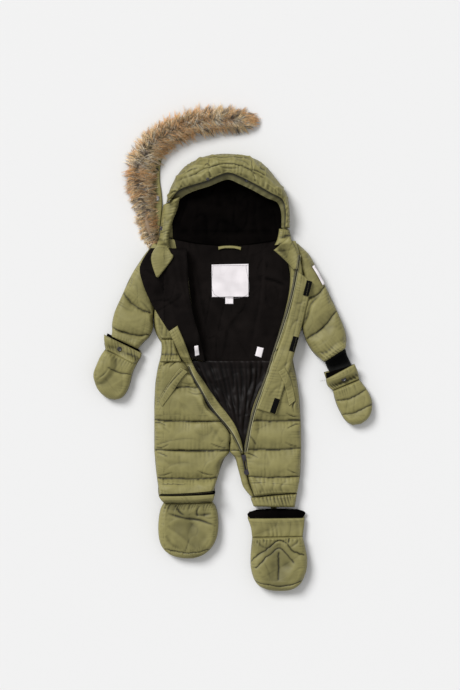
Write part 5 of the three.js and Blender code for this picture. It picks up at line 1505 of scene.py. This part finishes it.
def lay_opening():
    """The turned-out left front with its fleece up, the placket, the zip tapes and the storm flap."""
    under = LAPEL_LEFT - np.array((0, 0, 4.0, 0))
    under[0, 1::2] -= 14.0
    panel("lapel_shell", "lapel_shell_left", under, SHELL, rim=3.0, loft=8.0, edges=(8, 6, 4, 4), spacing=3.0,
          reach=7, padded=0.4, seed=60)
    folds = [
        fold(trace(150, 262, 160, 285, 170, 305, 180, 330), 3.0, 18.0),
        fold(trace(178, 250, 181, 280, 190, 312, 199, 340), 3.5, 14.0),
        crease(trace(145, 270, 155, 275, 164, 283), 2.2, 6.0),
        crease(trace(160, 300, 170, 302, 181, 310), 2.0, 6.0),
        crease(trace(168, 255, 172, 275, 178, 295), -2.5, 10.0),
    ]
    panel("lapel_fleece", "lapel_fleece_left", LAPEL_LEFT, FLEECE, rim=1.6, loft=3.2, edges=(4, 4, 4, 4),
          spacing=2.4,
          reach=5, puckers=(0.5, 0, 0, 0), padded=None, relief=folds, wrinkle=1.2, seed=61)
    tape = dict(rim=1.2, loft=1.4, edges=(1, 1, 1, 1), spacing=1.6, reach=3, wrinkle=0.0,
                puckers=(0, 0, 0, 0), padded=None)
    panel("zip_tape_left_cloth", "zip_tape_left", ribbon(ZIP_LEFT, 7), TAPE, **tape, seed=62)
    placket = [fold(trace(190, 371, 196, 384, 201, 397), 1.5, 6.0),
               crease(trace(178, 342, 184, 354, 190, 366), 1.2, 3.0),
               crease(trace(199, 391, 202, 405, 209, 415, 218, 426, 229, 437), 1.6, 3.0),
               crease(trace(176, 334, 180, 346, 186, 358), -0.8, 3.0)]
    panel("placket", "placket_left", PLACKET_LEFT - np.array((2.5, 0, 0, 0)), SHELL, rim=2.0, loft=5.0,
          edges=(6, 5, 4, 4), spacing=1.8, reach=5,
          wrinkle=0.7, puckers=(0.8, 0.5, 0.6, 0), wave=7.0, relief=placket, padded=0.3, seed=63)
    panel("zip_tape_right_cloth", "zip_tape_right", ribbon(ZIP_RIGHT, 6.5), TAPE, **tape, seed=64)
    flap = [crease(trace(305, 285, 299, 310, 293, 335, 285, 365, 276, 400), 0.9, 2.5),
            crease(trace(300, 318, 294, 322, 289, 330), 1.4, 4.0),
            crease(trace(292, 360, 285, 364, 278, 372), 1.4, 4.0),
            crease(trace(282, 385, 275, 388, 268, 396), 1.2, 4.0),
            crease(trace(305, 300, 300, 303, 294, 305), 1.2, 4.0)]
    panel("storm_flap", "storm_flap_right", STORM_FLAP - np.array((5.0, 0, 0, 0)), SHELL, rim=3.6, loft=7.0,
          edges=(6, 6, 5, 5), spacing=1.9, reach=5,
          wrinkle=0.8, puckers=(0.8, 0.8, 0.6, 0.6), wave=9.0, relief=flap, padded=0.3, seed=65)
    chin = dict(rim=2.5, loft=7.0, edges=(6, 6, 6, 6), spacing=1.6, reach=5, wrinkle=0.8,
                puckers=(0.7, 0.7, 0.7, 0.7),
                padded=0.4)
    panel("chin_tab_left", "chin_guard_left", CHIN_LEFT, SHELL, **chin, seed=66)
    panel("chin_tab_right", "chin_guard_right", CHIN_RIGHT, SHELL, **chin, seed=67)


def ribbon(line, wide):
    """Sections of a strip of even width along a line."""
    ahead = np.gradient(line, axis=0)
    ahead /= np.linalg.norm(ahead, axis=1)[:, None]
    side = np.column_stack([-ahead[:, 1], ahead[:, 0]]) * wide / 2
    left, right = line - side, line + side
    swap = left[:, :1] > right[:, :1]
    return np.hstack([np.where(swap, right, left), np.where(swap, left, right)])


def lay_zips():
    """The teeth of both sides of the zip, and the pale edge of the tapes."""
    for name, line, material, shift in (("zip_teeth_left", ZIP_LEFT, BLACK_TEETH, -1.0),
                                        ("zip_teeth_right", ZIP_RIGHT, TEETH, 1.0)):
        points = resampled(line, 2.3)
        ahead = np.gradient(points, axis=0)
        ahead /= np.linalg.norm(ahead, axis=1)[:, None]
        side = np.column_stack([ahead[:, 1], -ahead[:, 0]])
        points = points + side * shift
        z = PILE.at(points[:, 0], points[:, 1]) + 0.5
        spots = np.column_stack([points, z])
        made = joined(name, [bars(spots, np.column_stack([side, np.zeros(len(side))]), (3.6, 1.25, 1.5))],
                      material)
        finish_piece(made)
    cord_on_cloth("zip_edge_left", ZIP_LEFT + np.array((3.2, 2.4)), 1.0, PALE)
    cord_on_cloth("zip_edge_right", ZIP_RIGHT + np.array((4.5, 1.0)), 1.0, PALE)


VELCRO = (("velcro_top", 186, 144, -15), ("velcro_middle", 152, 6, -17), ("velcro_bottom", 105, -147, -19))


def lay_trim():
    """Labels, tags, pockets, hook patches and the hanging loop."""
    paper = dict(rim=1.0, loft=1.0, edges=(0.8, 0.8, 0.8, 0.8), spacing=2.0, reach=4, bite=0, wrinkle=0.12,
                 puckers=(0, 0, 0, 0), straight=True, padded=None)
    panel("care_label_cloth", "care_label", CARE_LABEL, LABEL, **paper, seed=70,
          relief=[crease(trace(222, 262, 224, 280, 221, 299), 0.35, 12.0)])
    panel("size_tab", "care_label", SIZE_TAB, LABEL, **{**paper, "wrinkle": 0.1}, seed=71)
    panel("loop", "hang_loop", HANG_LOOP, SHELL, rim=2.4, loft=4.0, edges=(2, 2, 3, 3), spacing=1.4,
          wrinkle=0.2,
          puckers=(0, 0, 0, 0), padded=None, bow=(6, -6), seed=72)
    panel("tag_left", "side_tag_left", TAG_LEFT, LABEL, **paper, seed=73)
    panel("tag_right", "side_tag_right", TAG_RIGHT, LABEL, **paper, seed=74)
    welt = dict(rim=1.6, loft=2.8, edges=(4, 4, 4, 4), spacing=1.5, reach=4, wrinkle=0.4, padded=0.3,
                puckers=(0.6, 0.6, 0, 0))
    panel("pocket_edge_left", "pocket_welt_left", POCKET_LEFT, SHELL, **welt, seed=75,
          relief=[crease(trace(185, 368, 176, 377, 167, 388, 161, 399), 1.6, 1.8)])
    panel("pocket_edge_right", "pocket_welt_right", POCKET_RIGHT, SHELL,
          **{**welt, "rim": 1.0, "loft": 1.8}, seed=76)
    for number, (name, x, y, turn) in enumerate(VELCRO):
        c, s = math.cos(math.radians(turn)), math.sin(math.radians(turn))
        rows = [(x - 7 * c - k * s, y - 7 * s + k * c, x + 7 * c - k * s, y + 7 * s + k * c) for k in (19,
            0, -19)]
        panel(name + "_patch", name, np.array(rows, float), HOOKS, **{**paper, "wrinkle": 0.1},
              seed=77 + number)


def lay_mittens():
    """The mittens' hands, thumb and cuffs."""
    hand = dict(rim=4.0, spacing=1.7, wrinkle=0.8)
    panel("thumb", "mitten_thumb_left", MITTEN_LEFT_THUMB, SHELL, **hand, loft=10.0, edges=(6, 6, 8, 8),
          seed=80)
    left = [crease(trace(110, 368, 105, 374, 97, 380), 2.5, 3.0),
            quilt(trace(110, 368, 120, 372, 132, 374), 4.0, 7.0, 1.0),
            fold(trace(100, 389, 111, 386, 124, 378), 1.6, 9.0),
            fold(trace(131, 370, 124, 379, 112, 385), 1.2, 12.0)]
    panel("hand_left", "mitten_hand_left", MITTEN_LEFT[2:], SHELL, **hand, loft=18.0, edges=(14, 14, 6, 20),
          relief=left,
          puckers=(1.0, 1.0, 2.0, 1.0), seed=81)
    mouth("mitten_mouth_left", sections((-312, 33, -232, -8), (-318, 16, -230, -26)))
    cuff = dict(rim=3.0, loft=8.0, edges=(5, 5, 5, 5), spacing=1.5, wrinkle=0.4, wave=9.0,
                puckers=(0, 0, 1.6, 2.2), padded=0.4)
    panel("cuff_left", "mitten_cuff_left", MITTEN_LEFT_CUFF, SHELL, **cuff, seed=82)
    right = [quilt(trace(335, 400, 350, 397.5, 368, 387), 6.0, 9.0, 1.2),
             quilt(trace(339, 415, 355, 412, 373, 402), 6.0, 9.0, 1.2),
             fold(trace(336, 409, 346, 408, 357, 402), 1.4, 9.0),
             fold(trace(341, 421, 352, 418, 366, 412), 1.4, 9.0)]
    panel("hand_right", "mitten_hand_right", MITTEN_RIGHT[2:], SHELL, **hand, loft=18.0,
          edges=(14, 14, 6, 18), relief=right,
          puckers=(1.0, 1.0, 2.0, 1.0), seed=83)
    mouth("mitten_mouth_right", sections((232, -66, 302, -45), (236, -90, 306, -56)))
    panel("cuff_right", "mitten_cuff_right", MITTEN_RIGHT_CUFF, SHELL, **cuff, seed=84)


def mouth(name, rows, bow=(0, 0)):
    """The fleece that shows inside a cuff, painted darker than the body's fleece as the shade inside the opening."""
    panel(name, None, rows, SHADED_FLEECE, rim=1.0, loft=1.6, edges=(3, 3, 3, 3), spacing=2.0, reach=3,
          wrinkle=0.3,
          puckers=(0, 0, 0, 0), padded=None, bow=bow, seed=90)


def lay_booties():
    """The booties' uppers and cuffs."""
    foot = dict(rim=4.5, spacing=1.5, wrinkle=1.1)
    left = [
        crease(trace(168, 512, 185, 517, 200, 519, 217, 525), 3.4, 4.0),
        fold(trace(168, 523, 178, 518, 190, 516), 3.0, 8.0),
        fold(trace(167, 526, 180, 535, 190, 544, 197, 550), 3.4, 14.0),
        crease(trace(212, 512, 202, 514, 194, 513), 2.2, 4.0),
        crease(trace(176, 504, 180, 511, 186, 515), 2.8, 3.5),
        crease(trace(200, 504, 197, 510, 198, 516), 2.6, 3.5),
        fold(trace(214, 530, 207, 540, 200, 551), 1.8, 12.0),
        crease(trace(166, 534, 172, 543, 182, 549), 2.0, 6.0),
        crease(trace(190, 512, 198, 530, 202, 548), 3.0, 22.0),
        quilt(trace(166, 548, 180, 551, 195, 551, 208, 548), 4.0, 7.0, 1.8, 6.0),
    ]
    panel("foot_left", "bootie_upper_left", BOOT_LEFT[2:], SHELL, **foot, loft=20.0, edges=(16, 16, 6, 18),
          relief=left,
          puckers=(1.2, 1.2, 3.2, 1.8), seed=92,
          dimmer=(dim(trace(186, 528, 192, 538, 196, 546), 0.25, 30.0),
                  dim(trace(172, 508, 188, 514, 205, 512), 0.22, 12.0)))
    mouth("bootie_mouth_left", sections((-178, -365, -44, -357), (-182, -371, -43, -364),
                                        (-176, -381, -50, -375)), (-3, 0))
    cuff = dict(rim=3.0, loft=8.0, edges=(5, 5, 5, 5), spacing=1.6, wrinkle=0.9, wave=17.0,
                puckers=(0, 0, 1.2, 2.2), padded=0.4)
    lower = BOOT_LEFT_CUFF.copy()
    lower[0] = sections((-183, -369, -46, -366))[0]
    panel("bootie_cuff_left_panel", "bootie_cuff_left", lower, SHELL, **cuff, bow=(-3, 0), seed=93)
    right = [
        quilt(trace(250, 561, 256, 555, 263, 550, 271, 544, 279, 539, 286, 542, 292, 549, 303, 553), 5.5,
              7.0, 1.0),
        quilt(trace(256, 566, 263, 559, 272, 551, 279, 547, 285, 551, 293, 560), 4.0, 5.0, 0.7),
        quilt(trace(278, 552, 278, 564, 278, 577), 3.5, 5.0, 0.8),
        quilt(trace(254, 579, 266, 583, 279, 584.5, 292, 583, 302, 579), 5.0, 6.0, 1.6, 6.0),
        crease(trace(262, 526, 262, 533, 265, 541), 2.8, 3.0),
        crease(trace(290, 526, 290, 533, 287, 542), 2.8, 3.0),
        crease(trace(275, 527, 276, 532, 275, 537), 2.4, 3.0),
        crease(trace(254, 537, 262, 545, 268, 547), 2.0, 4.0),
        crease(trace(301, 536, 294, 543, 288, 546), 2.0, 4.0),
        crease(trace(278, 542, 278, 560, 278, 580), 6.0, 22.0),
        fold(trace(253, 566, 263, 570, 272, 580), 2.0, 10.0),
        fold(trace(304, 562, 294, 568, 286, 580), 2.0, 10.0),
    ]
    panel("foot_right", "bootie_upper_right", BOOT_RIGHT[3:], SHELL, **foot, loft=24.0,
          edges=(18, 18, 5, 22), relief=right,
          puckers=(1.2, 1.2, 3.0, 1.2), seed=94,
          dimmer=(dim(trace(278, 556, 277, 568, 276, 578), 0.36, 34.0),
                  dim(trace(253, 541, 260, 546, 266, 549), 0.2, 14.0)))
    mouth("bootie_mouth_right", sections((60, -407, 163, -406), (44, -412, 176, -410),
                                         (37, -419, 182, -416), (46, -431, 172, -430)),
          (3, 0))
    panel("bootie_cuff_right_panel", "bootie_cuff_right", BOOT_RIGHT_CUFF, SHELL, **cuff, seed=95)


def lay_sewing():
    """Stitches, studs and the badge strip."""
    border = [trace(213, 266, 245, 266, 246, 268, 247, 295, 215, 295, 213, 266)]
    stitching("label_border", border, GREY_THREAD, 3.6, (2.4, 0.9, 0.6))
    lines = [
        trace(308, 284, 302, 312, 296, 337, 288, 368, 279, 402),
        trace(301, 276, 297, 300, 288, 335, 272, 378, 259, 407),
        trace(181, 369, 173, 377, 164, 390, 160, 398),
        trace(180, 338, 189, 357, 199, 376, 214, 396, 229, 419, 239, 437),
        trace(161, 358, 178, 358), trace(229, 437, 229, 450), trace(151, 260, 158, 249, 167, 250, 171, 258),
        trace(286, 258, 292, 242, 296, 255), trace(314, 351, 322, 357.5, 333, 352, 342, 345.5),
        trace(254, 497, 274, 498, 293, 496),
        trace(321, 381, 338, 376.5, 349, 371.5, 354, 366), trace(107, 337, 121, 344, 131, 349, 140, 354),
        trace(250, 521, 276, 522.5, 302, 520), trace(163, 492.5, 190, 492.5, 212, 490.5),
    ]
    stitching("seam_stitches", lines, THREAD)
    badge = np.array([(198, 198, 204, 204), (214, 171, 220, 176), (224, 152, 230, 156)], float)
    panel("sleeve_strip", None, badge, LABEL, rim=0.8, loft=1.0, edges=(0.6,) * 4, spacing=1.6, reach=2,
          bite=0,
          wrinkle=0.0, puckers=(0, 0, 0, 0), padded=None, seed=97)
    studs = (
        ("stud_tape_low", 157, 170, DARK_STUD, 4.5), ("stud_hood_side", 162, 229, DARK_METAL, 5.0),
        ("stud_hem_left", 208, 181.5, DARK_STUD, 4.0), ("stud_hem_right", 246, 182.5, DARK_STUD, 4.0),
        ("stud_mitten_left", 120, 349, DARK_STUD, 6.0), ("stud_mitten_right", 343, 379, DARK_STUD, 6.0),
    )
    for name, u, v, material, radius in studs:
        x, y = trace(u, v)[0]
        press_stud(name, x, y, radius, material)


def dress_solids():
    """Better materials on the metal solids that keep their shape."""
    for name, material in (("snap_tape", SILVER), ("snap_sleeve", SILVER), ("zip_slider", DARK_METAL),
                           ("zip_pull", DARK_METAL)):
        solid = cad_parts[name]
        solid.data.materials.clear()
        solid.data.materials.append(bpy.data.materials[material])


def set_stage():
    """The floor, the camera and the light."""
    floor_points = np.array([(-4, -4, 0), (4, -4, 0), (4, 4, 0), (-4, 4, 0)], float) - (0, 0, 0.0005)
    mesh = bpy.data.meshes.new("floor")
    mesh.from_pydata(floor_points.tolist(), [], [(0, 1, 2, 3)])
    floor = bpy.data.objects.new("floor", mesh)
    bpy.context.scene.collection.objects.link(floor)
    mesh.materials.append(plain("pale_floor", bpy.context.scene.snowsuit_colours.floor, 0.8))
    camera_data = bpy.data.cameras.new("camera")
    camera_data.lens = 100.0
    camera_data.sensor_width = 36.0
    camera_data.clip_end = 50.0
    camera = bpy.data.objects.new("camera", camera_data)
    camera.location = (-0.00725, 0.01159, 4.79)
    bpy.context.scene.collection.objects.link(camera)
    bpy.context.scene.camera = camera
    for name, turned, power, spread_angle in (("key", (-31.0, -35.0, 0.0),
                                               bpy.context.scene.snowsuit_sizes.light, 26.0),):
        light = bpy.data.lights.new(name, "SUN")
        light.energy = power
        light.angle = math.radians(spread_angle)
        lamp = bpy.data.objects.new(name, light)
        lamp.rotation_euler = tuple(math.radians(angle) for angle in turned)
        lamp.location = (-1.5, 1.5, 3.0)
        bpy.context.scene.collection.objects.link(lamp)
    world = bpy.data.worlds.new("soft_sky")
    bpy.context.scene.world = world
    world.use_nodes = True
    world.node_tree.nodes["Background"].inputs["Color"].default_value = (1, 1, 1, 1)
    world.node_tree.nodes["Background"].inputs["Strength"].default_value = 0.47
    bpy.context.scene.view_settings.view_transform = "Standard"


# The settings that a user changes.
class SnowsuitColours(bpy.types.PropertyGroup):
    """The colours of the cloth and the floor."""
    shell: bpy.props.FloatVectorProperty(
        name="Shell", description="Colour of the outer cloth", default=(0.242, 0.218, 0.082),
        min=0.0, max=1.0, subtype="COLOR")
    # The facing's colour is the shell's olive painted darker, as the shade under the hood's brim.
    facing: bpy.props.FloatVectorProperty(
        name="Facing", description="Colour of the cloth turned in under the hood's brim",
        default=(0.17, 0.155, 0.06),
        min=0.0, max=1.0, subtype="COLOR")
    fleece: bpy.props.FloatVectorProperty(
        name="Fleece", description="Colour of the fleece lining", default=(0.0085, 0.0066, 0.006),
        min=0.0, max=1.0, subtype="COLOR")
    satin: bpy.props.FloatVectorProperty(
        name="Satin", description="Colour of the lower lining", default=(0.0068, 0.0043, 0.0038),
        min=0.0, max=1.0, subtype="COLOR")
    floor: bpy.props.FloatVectorProperty(
        name="Floor", description="Colour of the floor", default=(0.86, 0.86, 0.86),
        min=0.0, max=1.0, subtype="COLOR")


class SnowsuitSizes(bpy.types.PropertyGroup):
    """How full the padding is, how creased the cloth, how long the fur and how strong the light."""
    padding: bpy.props.FloatProperty(
        name="Padding", description="Share of the full rise between seams", default=1.0, min=0.3, max=1.3,
        subtype="FACTOR")
    wrinkles: bpy.props.FloatProperty(
        name="Wrinkles", description="Share of the full creasing of the panels", default=1.0, min=0.0,
        max=1.5, subtype="FACTOR")
    fur_length: bpy.props.FloatProperty(
        name="Fur length", description="Share of the full length of the strands", default=1.0, min=0.5,
        max=1.2, subtype="FACTOR")
    light: bpy.props.FloatProperty(
        name="Light", description="Strength of the lamp", default=2.5, min=0.0, max=10.0)


# The operators, in the order in which the layers are laid.
class SNOWSUIT_OT_materials(bpy.types.Operator):
    """Makes every material of the suit from the colours that are set"""
    bl_idname = "snowsuit.materials"
    bl_label = "Cloth and metal"

    def execute(self, context):
        make_materials(context.scene.snowsuit_colours)
        return {"FINISHED"}


class SNOWSUIT_OT_backs(bpy.types.Operator):
    """Lays the panels that rest on the floor"""
    bl_idname = "snowsuit.backs"
    bl_label = "Back panels"

    def execute(self, _context):
        lay_backs()
        return {"FINISHED"}


class SNOWSUIT_OT_linings(bpy.types.Operator):
    """Lays the fleece and the satin that show in the open front"""
    bl_idname = "snowsuit.linings"
    bl_label = "Fleece and satin"

    def execute(self, _context):
        lay_linings()
        return {"FINISHED"}


class SNOWSUIT_OT_hood_lining(bpy.types.Operator):
    """Lays the black fleece of the hood's hollow"""
    bl_idname = "snowsuit.hood_lining"
    bl_label = "Hood lining"

    def execute(self, _context):
        lay_hood_lining()
        return {"FINISHED"}


class SNOWSUIT_OT_hood(bpy.types.Operator):
    """Raises the hood's padded roll with its facing and binding"""
    bl_idname = "snowsuit.hood"
    bl_label = "Hood"

    def execute(self, _context):
        lay_hood()
        return {"FINISHED"}


class SNOWSUIT_OT_fur(bpy.types.Operator):
    """Lays the fur's tape, its rope and its strands"""
    bl_idname = "snowsuit.fur"
    bl_label = "Fur trim"

    def execute(self, _context):
        lay_fur()
        return {"FINISHED"}


class SNOWSUIT_OT_trousers(bpy.types.Operator):
    """Lays the trousers' front panels, the strap and the elastic"""
    bl_idname = "snowsuit.trousers"
    bl_label = "Trousers"

    def execute(self, _context):
        lay_trousers()
        return {"FINISHED"}


class SNOWSUIT_OT_sleeves(bpy.types.Operator):
    """Lays the sleeves' fronts and the knit cuff"""
    bl_idname = "snowsuit.sleeves"
    bl_label = "Sleeves"

    def execute(self, _context):
        lay_sleeves()
        return {"FINISHED"}


class SNOWSUIT_OT_bodice(bpy.types.Operator):
    """Lays what shows of the bodice beside the opening"""
    bl_idname = "snowsuit.bodice"
    bl_label = "Bodice"

    def execute(self, _context):
        lay_bodice()
        return {"FINISHED"}


class SNOWSUIT_OT_hood_sides(bpy.types.Operator):
    """Lays the gathered strips beside the hood's hollow"""
    bl_idname = "snowsuit.hood_sides"
    bl_label = "Hood sides"

    def execute(self, _context):
        lay_hood_sides()
        return {"FINISHED"}


class SNOWSUIT_OT_mittens(bpy.types.Operator):
    """Lays the mittens' hands, thumb and cuffs"""
    bl_idname = "snowsuit.mittens"
    bl_label = "Mittens"

    def execute(self, _context):
        lay_mittens()
        return {"FINISHED"}


class SNOWSUIT_OT_booties(bpy.types.Operator):
    """Lays the booties' uppers and cuffs"""
    bl_idname = "snowsuit.booties"
    bl_label = "Booties"

    def execute(self, _context):
        lay_booties()
        return {"FINISHED"}


class SNOWSUIT_OT_opening(bpy.types.Operator):
    """Lays the turned-out front, the placket, the zip tapes and the flap"""
    bl_idname = "snowsuit.opening"
    bl_label = "Opening"

    def execute(self, _context):
        lay_opening()
        return {"FINISHED"}


class SNOWSUIT_OT_zips(bpy.types.Operator):
    """Sets the teeth and the edges of both sides of the zip"""
    bl_idname = "snowsuit.zips"
    bl_label = "Zip"

    def execute(self, _context):
        lay_zips()
        return {"FINISHED"}


class SNOWSUIT_OT_trim(bpy.types.Operator):
    """Lays the labels, tags, pocket edges, hook patches and the hanging loop"""
    bl_idname = "snowsuit.trim"
    bl_label = "Trim"

    def execute(self, _context):
        lay_trim()
        return {"FINISHED"}


class SNOWSUIT_OT_sewing(bpy.types.Operator):
    """Sets the stitches, the studs and the sleeve's strip"""
    bl_idname = "snowsuit.sewing"
    bl_label = "Sewing"

    def execute(self, _context):
        lay_sewing()
        return {"FINISHED"}


class SNOWSUIT_OT_metal(bpy.types.Operator):
    """Puts metal on the snaps, the slider and the pull"""
    bl_idname = "snowsuit.metal"
    bl_label = "Metal parts"

    def execute(self, _context):
        dress_solids()
        return {"FINISHED"}


class SNOWSUIT_OT_stage(bpy.types.Operator):
    """Sets the floor, the camera and the light"""
    bl_idname = "snowsuit.stage"
    bl_label = "Stage"

    def execute(self, _context):
        set_stage()
        return {"FINISHED"}


class SNOWSUIT_PT_build(bpy.types.Panel):
    """The settings and the steps of the build, in order."""
    bl_idname = "SNOWSUIT_PT_build"
    bl_label = "Padded snowsuit"
    bl_space_type = "VIEW_3D"
    bl_region_type = "UI"
    bl_category = "Snowsuit"

    def draw(self, context):
        for settings in (context.scene.snowsuit_colours, context.scene.snowsuit_sizes):
            for key in settings.__annotations__:
                self.layout.prop(settings, key)
        for step in STEPS:
            self.layout.operator(step.bl_idname)


STEPS = (
    SNOWSUIT_OT_materials, SNOWSUIT_OT_backs, SNOWSUIT_OT_linings, SNOWSUIT_OT_hood_lining,
    SNOWSUIT_OT_hood, SNOWSUIT_OT_fur, SNOWSUIT_OT_trousers, SNOWSUIT_OT_sleeves, SNOWSUIT_OT_bodice,
    SNOWSUIT_OT_hood_sides, SNOWSUIT_OT_mittens, SNOWSUIT_OT_booties, SNOWSUIT_OT_opening, SNOWSUIT_OT_zips,
    SNOWSUIT_OT_trim, SNOWSUIT_OT_sewing, SNOWSUIT_OT_metal, SNOWSUIT_OT_stage,
)


def register():
    for made in (SnowsuitColours, SnowsuitSizes, *STEPS, SNOWSUIT_PT_build):
        bpy.utils.register_class(made)
    bpy.types.Scene.snowsuit_colours = bpy.props.PointerProperty(type=SnowsuitColours)
    bpy.types.Scene.snowsuit_sizes = bpy.props.PointerProperty(type=SnowsuitSizes)


def unregister():
    del bpy.types.Scene.snowsuit_sizes
    del bpy.types.Scene.snowsuit_colours
    for made in (SNOWSUIT_PT_build, *reversed(STEPS), SnowsuitSizes, SnowsuitColours):
        bpy.utils.unregister_class(made)


def main():
    """Registers the add-on and runs each step in order."""
    register()
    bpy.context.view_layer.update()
    for step in STEPS:
        getattr(bpy.ops.snowsuit, step.bl_idname.split(".")[1])()


if __name__ == "__main__":
    main()
